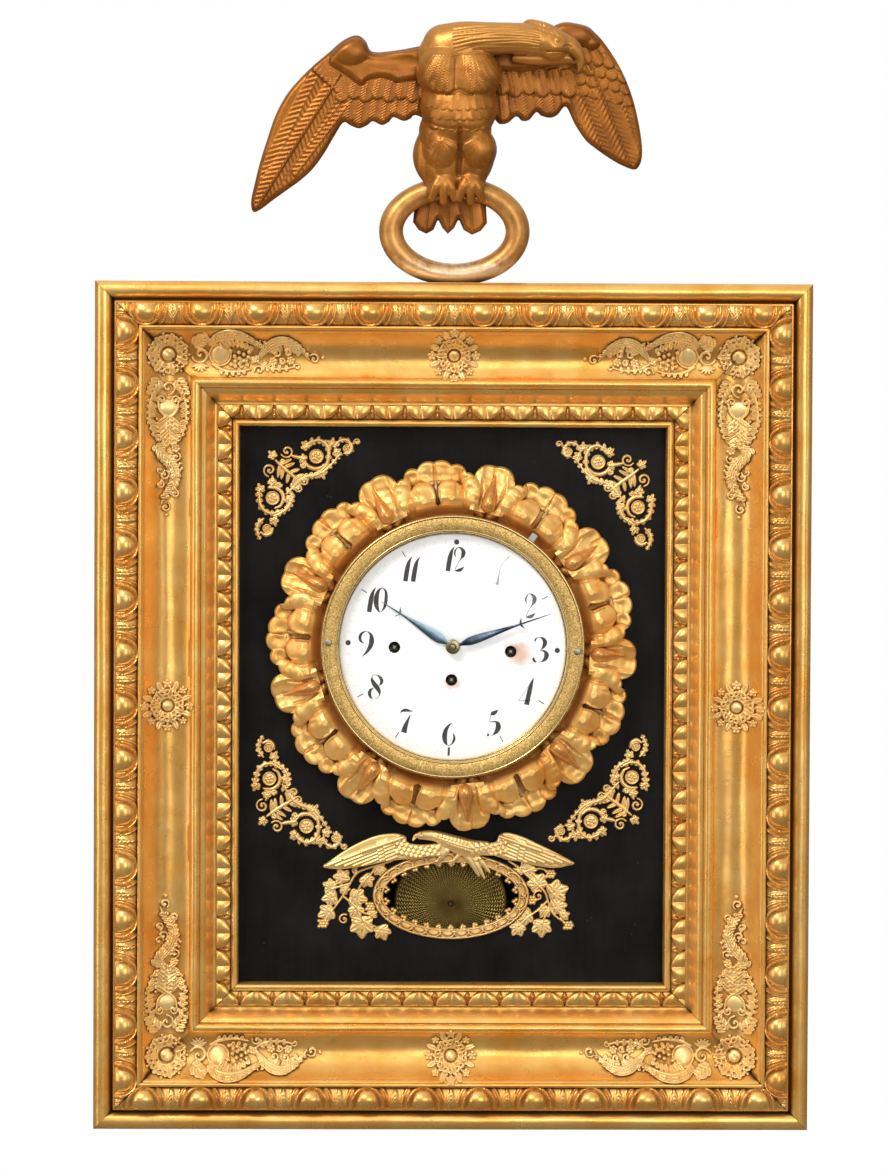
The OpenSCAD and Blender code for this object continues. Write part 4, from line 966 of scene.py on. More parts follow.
# Digits about 17 high, as strokes of [across, up, half width] in millimetres
DIGITS = {
    "0": [[(5.2, 17.4, .12), (2.6, 15.2, .8), (1.2, 10.4, 1.45), (1.4, 5.0, 1.35), (3.2, 1.0, .5),
           (4.6, .2, .1)],
          [(5.4, 17.3, .12), (7.6, 14.8, .7), (8.0, 9.6, 1.0), (7.2, 4.2, .8), (5.0, .3, .1)]],
    "1": [[(.9, 0, 1.35), (1.4, 5, 1.4), (2.2, 10.5, 1.3), (3.2, 14.3, .8), (4.9, 17.4, .12)]],
    "2": [[(4.2, 10.0, .1), (3.2, 12.4, .5), (3.7, 15.0, .45), (5.2, 16.9, .12)],
          [(5.2, 17.0, .12), (7.4, 16.4, .6), (9.2, 14.2, 1.2), (9.1, 11.6, 1.15), (7.9, 9.2, .45),
           (6.4, 6.8, .12),
           (4.6, 3.2, .09), (3.8, 1.0, .09)],
          [(3.8, .6, .15), (5.6, .7, .8), (7.8, 1.4, .95), (10.2, 3.6, .1)]],
    "3": [[(1.0, 14.4, .5), (1.9, 16.4, .4), (4.0, 17.3, .15), (6.6, 16.6, .8), (8.2, 14.2, 1.3),
           (7.6, 11.4, 1.0),
           (6.0, 9.2, .3), (5.0, 8.4, .1)],
          [(5.4, 8.2, .15), (8.2, 7.6, .7), (9.6, 5.4, 1.4), (8.8, 2.4, 1.1), (6.4, .3, .3), (4.6, 0, .1)],
          [(.9, 3.2, .3), (.7, 1.8, .8), (1.8, .3, .6), (3.2, .1, .1)]],
    "4": [[(10.4, 19.2, .15), (9.2, 15.6, .9), (8.0, 10.6, 1.35), (6.9, 4.6, 1.4), (6.2, .4, 1.5)]],
    "5": [[(2.2, 15.0, .2), (3.8, 15.8, 1.2), (5.6, 16.8, 1.0), (7.4, 18.6, .15)],
          [(2.6, 15.0, .15), (2.0, 12.4, .12), (2.2, 10.0, .2), (5.8, 10.4, .4)],
          [(5.6, 10.4, .3), (7.4, 9.0, 1.2), (8.0, 6.4, 1.6), (6.8, 3.2, 1.2), (4.6, .9, .3), (3.4, .2, .1)],
          [(.5, .9, .5), (.9, .8, .95), (1.6, 1.5, .4)]],
    "6": [[(6.6, 16.4, .12), (4.3, 14.6, .6), (2.2, 11.2, 1.2), (1.5, 6.8, 1.5), (2.2, 3.0, 1.1),
           (3.8, .4, .15)],
          [(4.2, .1, .12), (6.6, 1.5, .35), (8.1, 4.2, .75), (8.2, 7.0, .6), (7.2, 9.2, .12)]],
    "7": [[(.3, 13.8, .1), (2.2, 15.5, .7), (4.6, 15.9, .95), (7.2, 15.5, .5), (9.2, 15.3, .1)],
          [(7.5, 12.9, .15), (6.2, 9.4, .7), (4.6, 5.2, 1.3), (3.4, .2, 1.75)]],
    "8": [[(2.3, 15.7, .3), (2.6, 13.6, .9), (4.2, 11.0, 1.35), (6.2, 8.6, 1.4), (7.8, 6.0, 1.0),
           (8.2, 4.0, .4),
           (7.2, 1.6, .12), (5.0, .3, .1)],
          [(3.8, 8.4, .2), (1.7, 6.6, .8), (1.1, 4.4, 1.05), (1.9, 1.9, .7), (3.6, .4, .12)],
          [(2.4, 15.8, .2), (3.0, 17.0, .12), (5.0, 17.5, .1), (7.4, 16.5, .6), (9.2, 14.0, 1.0),
           (9.0, 11.8, .8), (7.4, 10.0, .15)]],
    "9": [[(6.2, 17.2, .15), (8.8, 14.6, .9), (9.4, 10.6, 1.5), (8.6, 6.6, 1.3), (6.4, 2.8, .8),
           (3.4, -.6, .12)],
          [(5.8, 17.3, .12), (2.6, 15.8, .6), (1.2, 13.0, .9), (1.8, 10.2, .7), (4.2, 8.6, .12)]],
    "worn 1": [[(8.6, 20.6, .07), (3.4, 13.8, .12), (1.9, 7.6, .3), (1.0, 1.6, .8), (.7, 0, 1.2)]],
    "worn 4": [[(9.8, 18.4, .20), (5.0, 10.0, .22), (.4, 3.2, .22)],
               [(.4, 3.0, .24), (4.6, 3.2, .26), (9.6, 3.8, .2)]],
}
# How each hour is set out: the digit and its place sideways from the numeral's middle
NUMERALS = {1: (("worn 1", -2.0),), 2: (("2", -6.4),), 3: (("3", -5.0),), 4: (("4", -6.0), ("worn 4", -6.0)),
            5: (("5", -4.6),),
            6: (("6", -4.8),), 7: (("7", -4.8),), 8: (("8", -5.0),), 9: (("9", -5.0),),
            10: (("1", -7.2), ("0", -2.8)),
            11: (("1", -5.1), ("1", 0.3)), 12: (("1", -6.3), ("2", -4.3))}


def paint_stroke(parts, points, place):
    """A flat stroke of paint lying on the enamel."""
    line = catmull(points, 8)
    d = np.gradient(line[:, :2], axis=0)
    d /= np.maximum(np.hypot(d[:, 0], d[:, 1]), 1e-9)[:, None]
    w = np.maximum(line[:, 2] * 1.16, 0.19)[:, None]
    normal = np.stack([-d[:, 1], d[:, 0]], 1)
    flat_ribbon(parts, place(line[:, :2] + normal * w), place(line[:, :2] - normal * w))


def flat_ribbon(parts, left, right):
    """A closed ribbon of paint between two lines of (x, z)."""
    n = len(left)
    rows = []
    for side, d in ((left, 0.0), (left, PAINT_THICK), (right, PAINT_THICK), (right, 0.0)):
        rows.append(np.stack([side[:, 0], np.full(n, DIAL_FRONT + d), side[:, 1]], 1))
    verts = np.stack(rows, 1)
    ends = [[0, 1, 2, 3], [(n - 1) * 4 + k for k in (3, 2, 1, 0)]]
    parts.add(verts, np.vstack([grid_quads(n, 4, wrap_v=True), ends]))


def on_dial(hour_angle, radius):
    """Point on the turned dial, clockwise from 12 in degrees."""
    a = math.radians(hour_angle) + DIAL_TURN
    return np.array([math.sin(a) * radius, math.cos(a) * radius])


def paint_numerals(paint):
    middle_r, half_tall = 61.2, 8.6
    for hour, digits in NUMERALS.items():
        centre = on_dial(hour * 30, middle_r)
        for digit, offset in digits:

            def place(points, offset=offset):
                x, z = turned(points[:, 0] + offset, points[:, 1] - half_tall, math.degrees(DIAL_TURN))
                return centre + np.column_stack([x, z])

            target = "faded" if digit.startswith("worn") else "greyed" if hour == 2 else "marks"
            for stroke in DIGITS[digit]:
                paint_stroke(paint[target], stroke, place)


def paint_circle(parts, centre, radius):
    a = np.linspace(0, TAU, 25)
    circle = np.column_stack([centre[0] + radius * np.cos(a), centre[1] + radius * np.sin(a)])
    flat_ribbon(parts, circle, np.repeat(centre[None, :], len(a), 0) + 0.02 * (circle - centre))


def paint_minutes(paint):
    """A round dot at 12, 3 and 9, a thick bar at 6, and a bar at each other minute."""
    for minute in range(60):
        five = minute % 5 == 0
        if minute in (0, 15, 45):
            paint_circle(paint["marks"], on_dial(minute * 6, 73.2), 1.85)
            continue
        r0, r1, w = (70.6, 76.4, 0.75) if minute == 30 else (70.8, 75.4, 0.30) if five else (71.6, 75.0, 0.13)
        a, b = on_dial(minute * 6, r0), on_dial(minute * 6, r1)
        side = np.array([b[1] - a[1], a[0] - b[0]]) / (r1 - r0) * w
        target = paint["marks" if five and minute != 5 else "minutes"]
        flat_ribbon(target, np.array([a + side, b + side]), np.array([a - side, b - side]))


def paint_track(parts):
    """What is left of the two worn circles beside the minutes."""
    for r in (71.4, 75.2):
        for first in range(0, 60):
            if first % 7 in (0, 3) or 28 < first < 34:
                a = np.linspace(first * 6 + 0.8, first * 6 + 5.0, 6)
                flat_ribbon(parts, *(np.array([on_dial(q, r + side) for q in a]) for side in (0.07, -0.07)))


def build_dial(M):
    names = {"marks": "dial_numerals", "faded": "dial_faded_numeral", "greyed": "dial_greyed_numeral",
             "minutes": "dial_minutes"}
    paint = {key: Parts() for key in names}
    paint_numerals(paint)
    paint_minutes(paint)
    paint_track(paint["minutes"])
    for key, name in names.items():
        paint[key].build(name, M[key], slot="enamel", smooth=False)


def hand_outline(length, width):
    """Half widths of a leaf-shaped hand from its hub to its tip."""
    t = np.array([0.05, 0.09, 0.16, 0.24, 0.34, 0.46, 0.58, 0.68, 0.76, 0.85, 0.94, 1.0])
    w = [1.15, 1.25, 0.90 * width, width, 0.86 * width, 0.60 * width, 0.36 * width, 0.62, 0.55, 0.42, 0.28,
         0.08]
    return catmull(np.column_stack([t * length, w]), 6)


def add_hand_cross(parts, cross_at, d0):
    """The small cross near the tip, made of two tapered bars."""
    for sx in (-1, 1):
        arm = catmull([(0, cross_at, 0.9), (sx * 1.8, cross_at + 0.5, 0.62),
                       (sx * 3.9, cross_at + 1.6, 0.16)], 6)
        half = np.column_stack([np.zeros(len(arm)), arm[:, 2]])
        rows = []
        for share, height in ((1, 0.0), (1, 0.4), (0, 0.75), (-1, 0.4), (-1, 0.0)):
            line = arm[:, :2] + share * half
            rows.append(np.stack([line[:, 0], np.full(len(arm), d0 + height), line[:, 1]], 1))
        parts.add(np.stack(rows, 1), grid_quads(len(arm), len(rows), wrap_v=True, flip=sx > 0))


def build_hand(material, name, node, body, angle, length, width, cross_at, hub, d0):
    """A hand whose blade has a ridge down its middle, set at an angle clockwise from 12."""
    parts = Parts()
    line = hand_outline(length, width)
    edge = 0.28
    rows = []
    for r, w in line:
        ridge = 0.30 + 0.45 * min(1.0, w / width)
        rows.append([(-w, 0.0), (-w, edge), (0, edge + ridge), (w, edge), (w, 0.0)])
    rows = np.array(rows)
    along = np.broadcast_to(line[:, 0][:, None], rows.shape[:2])
    parts.add(np.stack([rows[..., 0], d0 + rows[..., 1], along], -1),
              grid_quads(len(line), 5, wrap_v=True, flip=True))
    add_hand_cross(parts, cross_at, d0)
    lathe(parts, [[2.0, d0], [hub, d0], [hub, d0 + 0.5], [hub - 0.5, d0 + 0.8], [2.0, d0 + 0.8]], n=48)
    verts = np.concatenate(parts.verts)
    verts[:, 0], verts[:, 2] = turned(verts[:, 0], verts[:, 2], angle)
    parts.verts = [verts]
    parts.build(name, material, body=body, slot="blued_steel", replaces=(node,))


def build_hands(M):
    hour_d, minute_d = cad("hour_hand")[0][1], cad("minute_hand")[0][1]
    build_hand(M["hour_hand"], "hour_hand_leaf", "hour_hand", "hour_pipe", 302.1, 60.0, 3.5, 44.0, 4.6,
               hour_d)
    build_hand(M["blued"], "minute_hand_leaf", "minute_hand", "centre_arbor", 71.2, 72.6, 3.0, 50.0, 4.2,
               minute_d)
    nut = Parts()
    lo, hi = cad("hand_nut")
    lathe(nut, np.vstack([[[0.01, lo[1] - 0.4], [4.9, lo[1] - 0.4]], arc(4.3, lo[1] + 0.2, 0.7, -20, 80, 6),
                          [[2.6, lo[1] + 1.1], [2.3, lo[1] + 0.8]], arc(1.1, hi[1] - 0.7, 0.7, 0, 90, 6),
                          [[0.01, hi[1]]]]), n=64)
    nut.build("hand_collet", M["collet"], body="centre_arbor", slot="bezel_brass", replaces=("hand_nut",))


def build_winding_squares(M):
    """The bright square ends of the winding arbors, in their dark sockets: the arbors round them are painted
    black as painted shade in the winding holes.
    """
    for name, body in (("going_winder", "going_arbor"), ("hour_winder", "hour_arbor"),
                       ("quarter_winder", "quarter_arbor")):
        lo, hi = cad(name)
        x, z = (lo[0] + hi[0]) / 2, (lo[2] + hi[2]) / 2
        corner = np.array([[1, 1], [-1, 1], [-1, -1], [1, -1]]) * 1.05
        rows = [np.column_stack([x + corner[:, 0] * k, np.full(4, hi[1] + d), z + corner[:, 1] * k])
                for k, d in ((1.0, -0.5), (1.0, 0.12), (0.8, 0.3))]
        end = Parts()
        end.add(np.stack(rows), grid_quads(3, 4, wrap_v=True))
        end.build(name + "_end", M["screw"], body=body, slot="movement_steel", smooth=False)


# ---- Ornament ----
class Placed:
    """Draws on a relief in its own coordinates: along and across, turned and mirrored into place."""

    def __init__(self, relief, centre, along, across, bold=1.0):
        self.relief, self.centre, self.bold = relief, np.asarray(centre, float), bold
        self.count = 0        # leaflets drawn so far
        self.axes = np.array([along, across], float)

    def to(self, points):
        return self.centre + np.asarray(points, float) @ self.axes

    def stroke(self, line, width, height):
        self.relief.stroke(self.to(line), width, height)

    def curve(self, points, width, height):
        self.stroke(catmull(points, 7), width, height)

    def dome(self, a, b, r, height, **kw):
        self.relief.dome(*self.to((a, b)), r, height, **kw)

    def ring(self, a, b, r, width, height):
        t = np.linspace(0, TAU, max(14, int(r * 7)))
        self.stroke(np.stack([a + r * np.cos(t), b + r * np.sin(t)], 1), width, height)

    def curl(self, a, b, r0, r1, a0, a1, width, height):
        """A spiral from radius r0 at a0 degrees to r1 at a1, with a bead in its eye."""
        k = np.linspace(0, 1, max(10, int(abs(a1 - a0) / 18)))
        t = np.radians(a0 + (a1 - a0) * k)
        r = r0 + (r1 - r0) * k
        self.stroke(np.stack([a + r * np.cos(t), b + r * np.sin(t)], 1), width, height)
        self.dome(a, b, max(r1, 0.9), np.atleast_1d(height)[-1])

    def ribbed(self, points, width, height, ribs=4):
        """A long leaf made of ribs that run side by side."""
        line = catmull(points, 8)
        w, h = spread(width, len(line)), spread(height, len(line))
        d = np.gradient(line, axis=0)
        d /= np.hypot(d[:, 0], d[:, 1])[:, None]
        normal = np.stack([-d[:, 1], d[:, 0]], 1)
        for i in range(ribs):
            place = 1.5 * (i / (ribs - 1) - 0.5)
            self.stroke(line + normal * (w * place)[:, None], w * 0.32, h * (1.0 - 0.25 * abs(place)))

    def leaf(self, a0, b0, a1, b1, width, height, vein=0.45):
        self.relief.leaf(*self.to((a0, b0)), *self.to((a1, b1)), width, height, vein)

    def spray(self, line, count, length, width, height, opening=55, side=0):
        """Leaflets that stand off a stem, on one side or on both."""
        line = catmull(line, 10)
        for k in range(count):
            i = int((k + 0.5) / count * (len(line) - 1))
            d = line[min(i + 1, len(line) - 1)] - line[max(i - 1, 0)]
            angle = math.atan2(d[1], d[0])
            size = length * (0.6 + 0.4 * self.bold) * (1 - 0.45 * k / count)
            for way in ((1, -1) if side == 0 else (side,)):
                t = angle + way * math.radians(opening)
                self.count += 1
                lift = 1 + 0.22 * math.sin(self.count * 2.4)      # leaflets lie over and under one another
                self.leaf(*line[i], line[i][0] + size * math.cos(t), line[i][1] + size * math.sin(t),
                          width * self.bold,
                          height * lift * (0.6 + 0.4 * self.bold))


def rosette(o, r, petals=7):
    """A boss in a ring, inside a wreath of small scrolls."""
    for k in range(petals):
        a = TAU * (k + 0.5) / petals
        c, s_ = math.cos(a), math.sin(a)
        o.leaf(c * 0.36 * r, s_ * 0.36 * r, c * 0.98 * r, s_ * 0.98 * r, 0.23 * r, 2.6)
        for way in (-1, 1):
            b = a + way * 0.27
            o.curl(0.78 * r * math.cos(b), 0.78 * r * math.sin(b), 0.20 * r, 0.05 * r,
                   math.degrees(a) + way * 100, math.degrees(a) + way * 430, 0.85, 3.6)
        b = a + math.pi / petals
        o.dome(0.93 * r * math.cos(b), 0.93 * r * math.sin(b), 0.085 * r, 2.2)
        o.dome(0.60 * r * math.cos(b), 0.60 * r * math.sin(b), 0.10 * r, 1.8)
    o.ring(0, 0, 0.43 * r, 0.9, 1.8)
    o.dome(0, 0, 0.31 * r, 3.6)


def flower(o, a, b, r, height=2.2, petals=6):
    for k in range(petals):
        t = TAU * k / petals + 0.3
        o.dome(a + 0.62 * r * math.cos(t), b + 0.62 * r * math.sin(t), 0.40 * r, height)
    o.dome(a, b, 0.36 * r, height + 0.5)


def long_arm(o):
    """The arm along a horizontal rail: eye, knob under a great leaf, berries, a second leaf."""
    o.curl(22.4, 0, 6.2, 1.2, 200, 620, (1.0, 1.4, 0.8), 2.6)
    o.spray([(17, 6), (22, 9), (27, 12)], 4, 5.0, 1.4, 2.0)
    o.curl(21.5, 11.6, 3.0, 0.8, -60, 240, 0.9, 2.2)
    for t in range(-60, 61, 24):
        o.leaf(22, -5.5, 22 + 7.0 * math.sin(math.radians(t)), -5.5 - 7.0 * math.cos(math.radians(t)), 1.2,
               1.9)
    o.dome(36.0, 0, 6.6, 4.0)
    o.ring(36.0, 0, 7.4, 0.8, 1.8)
    o.ribbed([(29.0, 6.5), (33.5, 11.2), (42, 13.6), (51, 12.6), (59, 9.0), (66, 4.0)],
             (1.6, 3.0, 3.4, 3.0, 2.0, 0.9), (3.0, 4.4, 4.2, 3.0))
    o.spray([(34, 9.5), (43, 11.5), (52, 9.5), (60, 5.0)], 7, 6.0, 1.2, 2.4, 70, -1)
    o.spray([(32, 8.6), (38, 12), (46, 13.0), (56, 10.2), (65, 5.0)], 12, 3.6, 1.15, 3.6, 48, 1)
    o.curve([(30.5, -7.0), (38, -10.5), (48, -11.6), (57, -10.0)], (1.0, 1.5, 1.2, 0.8), 2.2)
    o.spray([(34, -9), (44, -11.5), (54, -11)], 5, 3.6, 1.0, 1.9, 60, -1)
    o.curl(63.0, -10.4, 3.4, 0.8, 200, -180, (0.8, 1.0, 0.7), 2.2)
    for a, b in ((46, -1), (49, 1.6), (49.4, -2.4), (52.4, 0.2), (46.4, -4.4), (52.6, -4.0), (55.4, -1.6),
                 (56, 2), (43.6, -6.6),
                 (49.4, -6.0), (43.2, 2.8)):
        o.dome(a, b, 1.75, 3.8)
    o.spray([(44, -5), (52, -6), (60, -3)], 4, 3.6, 1.0, 1.8, 60)
    flower(o, 60.8, -3.0, 3.0)
    o.curl(66.5, 8.0, 3.0, 0.8, 150, 480, 0.9, 2.4)
    o.ribbed([(62, -3), (67, 3.0), (73, 8.0), (81, 9.6), (89, 6.4), (95, 0.8), (98.5, -4.0)],
             (1.2, 2.4, 3.2, 3.0, 2.2, 1.2, 0.5), (2.8, 4.2, 3.6, 2.0))
    o.spray([(68, 4), (76, 7.5), (86, 6.5), (93, 1.0)], 7, 5.2, 1.15, 2.1, 65, -1)
    o.spray([(66, 3.4), (74, 8.4), (82, 9.6), (90, 5.8), (97, -1.0)], 11, 3.4, 1.05, 3.0, 48, 1)
    for a, b, r in ((75.5, 1.0, 3.2), (83.0, 1.4, 2.6), (79.0, -4.6, 2.4), (101.5, -2.6, 3.6)):
        o.curl(a, b, r, 0.9, 140, -250, (0.8, 1.1, 0.8), 2.6)
    o.dome(107.4, -1.8, 1.5, 2.4)
    o.curve([(62, -5), (70, -9.0), (80, -9.6), (88, -8)], (0.8, 1.2, 0.8), 1.9)
    o.spray([(64, -6.5), (72, -9.2), (84, -9)], 5, 3.2, 0.9, 1.7, 60)
    for a, b in ((73, -4.4), (85, -4.0)):
        flower(o, a, b, 3.4)
    o.curl(89.5, -8.4, 2.4, 0.7, 160, -160, 0.7, 1.8)


def short_arm(o):
    """The arm down an upright rail: eye, cartouche with two curls, thick foliage, then an S-shaped leaf."""
    o.curl(23.0, 0, 5.0, 1.2, 0, 400, (0.9, 1.2, 0.7), 2.6)
    for side in (-1, 1):
        o.spray([(17, 5 * side), (22, 9 * side), (28, 12 * side)], 4, 5.0, 1.3, 2.2)
        o.curl(31.4, 4.7 * side, 2.8, 0.8, 180 - 90 * side, 180 + 300 * side, 0.9, 2.6)
        o.curve([(27, 10.5 * side), (38, 12.4 * side), (50, 11.6 * side), (60, 8 * side)],
                (0.9, 1.2, 0.9, 0.5), 2.3)
        o.spray([(28, 11 * side), (40, 12.2 * side), (52, 11 * side), (61, 7 * side)], 9, 4.2, 1.05, 2.2, 58,
                -side)
        o.spray([(30, 11.5 * side), (44, 12.4 * side), (58, 9 * side)], 7, 2.8, 0.9, 2.0, 58, side)
    o.dome(37.0, 0, 6.2, 2.6)
    o.curve([(33, -7), (39.5, -5.6), (43.6, 0), (39.5, 5.6), (33, 7)], 1.0, 2.4)
    o.leaf(43, 0, 64, 0, 3.2, 2.6)
    o.spray([(42, 0), (52, 0), (63, 1)], 7, 8.6, 1.3, 2.4, 52)
    for k in range(16):
        a, b = 45 + (k * 7.3) % 19, ((k * 5.1) % 15) - 7.5
        o.dome(a, b, 1.35, 3.9)
    flower(o, 65.5, 5.0, 3.4)
    o.curl(66.0, -7.6, 2.8, 0.7, 0, 330, 0.8, 2.2)
    o.spray([(62, -9), (68, -5), (74, -2)], 4, 4.0, 1.1, 2.0, 60)
    o.ribbed([(64, -7.6), (71, -2.0), (77, 2.6), (84, 5.0), (91, 3.2), (97, -1.2), (104.5, -5.0)],
             (1.2, 2.6, 3.4, 3.2, 2.6, 1.6, 0.5), (2.8, 4.2, 3.6, 1.8))
    o.spray([(66, -6.4), (72, -1.2), (78, 3.0), (86, 4.8), (94, 1.4), (101, -3)], 12, 5.0, 1.3, 3.0, 52, -1)
    for a, b, r in ((71.5, 5.6, 3.0), (84.0, -2.6, 3.4), (90.5, -5.2, 2.6), (97.0, 4.6, 2.6),
                    (106.4, -1.6, 3.2)):
        o.curl(a, b, r, 0.9, 150, -240, (0.8, 1.1, 0.8), 2.6)
    o.dome(111.8, -0.8, 1.4, 2.4)
    o.spray([(70, -1), (80, 5.0), (90, 4.4), (100, -2)], 10, 4.0, 1.15, 2.8, 50, 1)
    o.curl(80.5, -5.4, 3.0, 0.8, 90, -230, 0.8, 2.0)
    for a, b in ((76, 8.0), (79.4, 9.2), (88, -4.4), (91, -6.4)):
        o.dome(a, b, 1.4, 2.0)


def cove_bed(X, Z):
    return cove_floor(frame_u(X, Z)) - 0.1


ROSETTE_IN = 51.0      # distance of a corner rosette's middle from both outer edges


def build_corner_ornaments(M):
    replaced = ("corner_ornaments",)
    for sx in (-1, 1):
        for sz in (-1, 1):
            cx, cz = sx * (HALF_W - ROSETTE_IN), MID_Z + sz * (HALF_H - ROSETTE_IN)
            reach_x, reach_z = cx - sx * 112, cz - sz * 116
            back_x, back_z = cx + sx * 17, cz + sz * 17
            r = Relief(min(reach_x, back_x), max(reach_x, back_x), min(reach_z, back_z), max(reach_z, back_z),
                       0.36)
            rosette(Placed(r, (cx, cz), (1, 0), (0, 1)), 15.4)
            long_arm(Placed(r, (cx, cz), (-sx, 0), (0, sz), 1.7))
            short_arm(Placed(r, (cx, cz), (0, -sz), (-sx, 0), 1.7))
            r.build(f"corner_ornament_{'left' if sx < 0 else 'right'}_{'top' if sz > 0 else 'bottom'}",
                    cove_bed, M["ornament"],
                    slot="ornament_gilding", replaces=replaced)
            replaced = ()


def build_centre_rosettes(M):
    replaced = ("centre_rosettes",)
    for sx, sz in ((0, 1), (0, -1), (-1, 0), (1, 0)):
        cx, cz = sx * (HALF_W - ROSETTE_IN), MID_Z + sz * (HALF_H - ROSETTE_IN)
        r = Relief(cx - 20, cx + 20, cz - 20, cz + 20, 0.33)
        o = Placed(r, (cx, cz), (1, 0), (0, 1))
        rosette(o, 13.0)
        for k in range(8):
            a = TAU * k / 8
            flower(o, 15.2 * math.cos(a), 15.2 * math.sin(a), 3.0 if k % 2 else 3.5, 1.9, 5)
        for k in range(8):
            a = TAU * (k + 0.5) / 8
            o.leaf(11 * math.cos(a), 11 * math.sin(a), 18.2 * math.cos(a), 18.2 * math.sin(a), 2.4, 1.8)
        r.build(f"centre_rosette_{sx + 1}{sz + 1}", cove_bed, M["ornament"], slot="ornament_gilding",
                replaces=replaced)
        replaced = ()


def spandrel(o):
    """Pierced scrollwork: along runs away from the upright edge, across away from the other edge."""
    w, h = (0.7, 1.0, 0.7), (1.8, 2.1, 2.2)
    for a, b, r, turn, way in ((32.9, 17.6, 4.6, 150, -1), (20.7, 30.7, 4.6, 100, 1),
                               (82.0, 10.7, 2.4, 150, 1),
                               (45.4, 38.5, 2.6, 160, -1), (41.3, 43.5, 2.6, 160, -1),
                               (36.5, 48.8, 1.8, 160, -1),
                               (27.5, 41.0, 2.0, 0, 1), (44.5, 27.2, 2.0, 200, -1), (30.0, 24.6, 1.6, 60, 1)):
        o.curl(a, b, r, max(0.8, r * 0.2), turn, turn + way * (470 if r > 4 else 400), w, h)
    for a, b, r in ((53.5, 21.0, 5.2), (22.9, 50.4, 5.0), (75.0, 15.4, 3.1), (19.1, 72.0, 3.4)):
        o.dome(a, b, r, 1.3, power=0.25)
        o.ring(a, b, r - 0.5, 0.5, 2.2)
        flower(o, a, b, r * 0.66, 2.0, 6)
    bands = ([(46, 25), (48, 28), (52, 29.6), (56, 29), (59.4, 26.4)],
             [(45.7, 15), (48, 12), (51.6, 10.2), (56.3, 9.8), (60.2, 12.4), (62.2, 17.4), (61.6, 24),
              (58.6, 29.4), (53, 33.2), (47.6, 35)],
             [(66.5, 15), (68.2, 11.4), (71.4, 9.2), (75, 9.6), (77.4, 12.2), (78.4, 15.6), (76.6, 18.6),
              (73, 18.8)],
             [(13.6, 45), (13.4, 50), (14.6, 56), (18.4, 60), (23.4, 61), (28.6, 59)],
             [(20, 43), (25.4, 43.4), (29.4, 46.6), (30.4, 51), (28.4, 55.6), (24.6, 57.4)],
             [(35.8, 49.6), (35.4, 54), (32.4, 58.4), (28, 61.2), (24, 63)],
             [(16.4, 65), (13.2, 68), (11.9, 72), (12.6, 76), (14.2, 79.4)],
             [(14.8, 74.6), (18.2, 76.4), (21.8, 75), (23.2, 71.6)],
             [(32.6, 47.4), (37.6, 42.4), (42.6, 37.4), (48, 35), (54, 34), (59.6, 31), (65, 25.6),
              (69.4, 20.4)],
             [(36.6, 20.6), (40, 21.6), (45, 23)], [(22.6, 35.2), (23.4, 39), (21.4, 43)],
             [(25, 24), (31, 29.6), (38, 35.4), (42.6, 39.4)])
    for line in bands:
        o.curve(line, (0.9, 1.6, 1.4, 0.8), 2.1)
    for line, count, size in ((bands[1], 9, 3.6), (bands[3], 6, 3.2), (bands[5], 6, 3.2), (bands[8], 12, 3.6),
                              (bands[6], 5, 2.6),
                              (bands[2], 6, 2.6)):
        o.spray(line, count, size * 1.1, 1.5, 2.0, 50)
    o.spray([(26.6, 26), (31, 29.4), (38, 35.6), (42, 39)], 5, 9.6, 1.6, 2.1, 62)
    for a, b, turn in ((23.5, 21, 225), (45, 23, 200), (23, 38.6, 110), (67, 18, 20), (23.6, 65.4, 70),
                       (46.6, 14.6, 230),
                       (14.6, 45, 250), (64.4, 12.6, 280), (33.6, 51, 20), (56.8, 32.6, 60)):
        for t, size in ((0, 6.4), (52, 5.0), (-52, 5.0), (105, 3.6), (-105, 3.6)):
            d = math.radians(turn + t)
            o.leaf(a, b, a + size * math.cos(d) * 0.85, b + size * math.sin(d) * 0.85, 1.75, 2.2)
        o.dome(a, b, 1.4, 2.4)


# where the middle of each mount sits, and how far it was turned when it was pinned on
SPANDRELS = {"left_top": (-111.3, 117.8, 0), "right_top": (116.1, 113.6, -4.5),
             "right_bottom": (112.8, -108.1, 3.5),
             "left_bottom": (-115.1, -111.0, -8.0)}
SPANDREL_MIDDLE = (38.2, 35.7)


def build_spandrels(M):
    replaced = ("spandrel_mounts",)
    for name, (x, z, turn) in SPANDRELS.items():
        sx, sz = (-1 if x < 0 else 1), (-1 if z < 0 else 1)
        c, k = math.cos(math.radians(turn)), math.sin(math.radians(turn))
        spin = np.array([[c, k], [-k, c]])
        along, across = np.array([-sx, 0.0]) @ spin, np.array([0.0, -sz]) @ spin
        centre = np.array([x, z]) - SPANDREL_MIDDLE[0] * along - SPANDREL_MIDDLE[1] * across
        r = Relief(x - 52, x + 52, z - 52, z + 52, 0.30)
        spandrel(Placed(r, centre, along, across))
        r.h[np.hypot(r.X, r.Z) < WREATH_R + 1.5] = -1
        r.h[(np.abs(r.X) > SIGHT_X - 1) | (np.abs(r.Z - MID_Z) > SIGHT_Z - 1)] = -1
        r.build("spandrel_" + name, PANEL + 0.25, M["mount"], sink=0.2, slot="mount_brass", replaces=replaced)
        replaced = ()


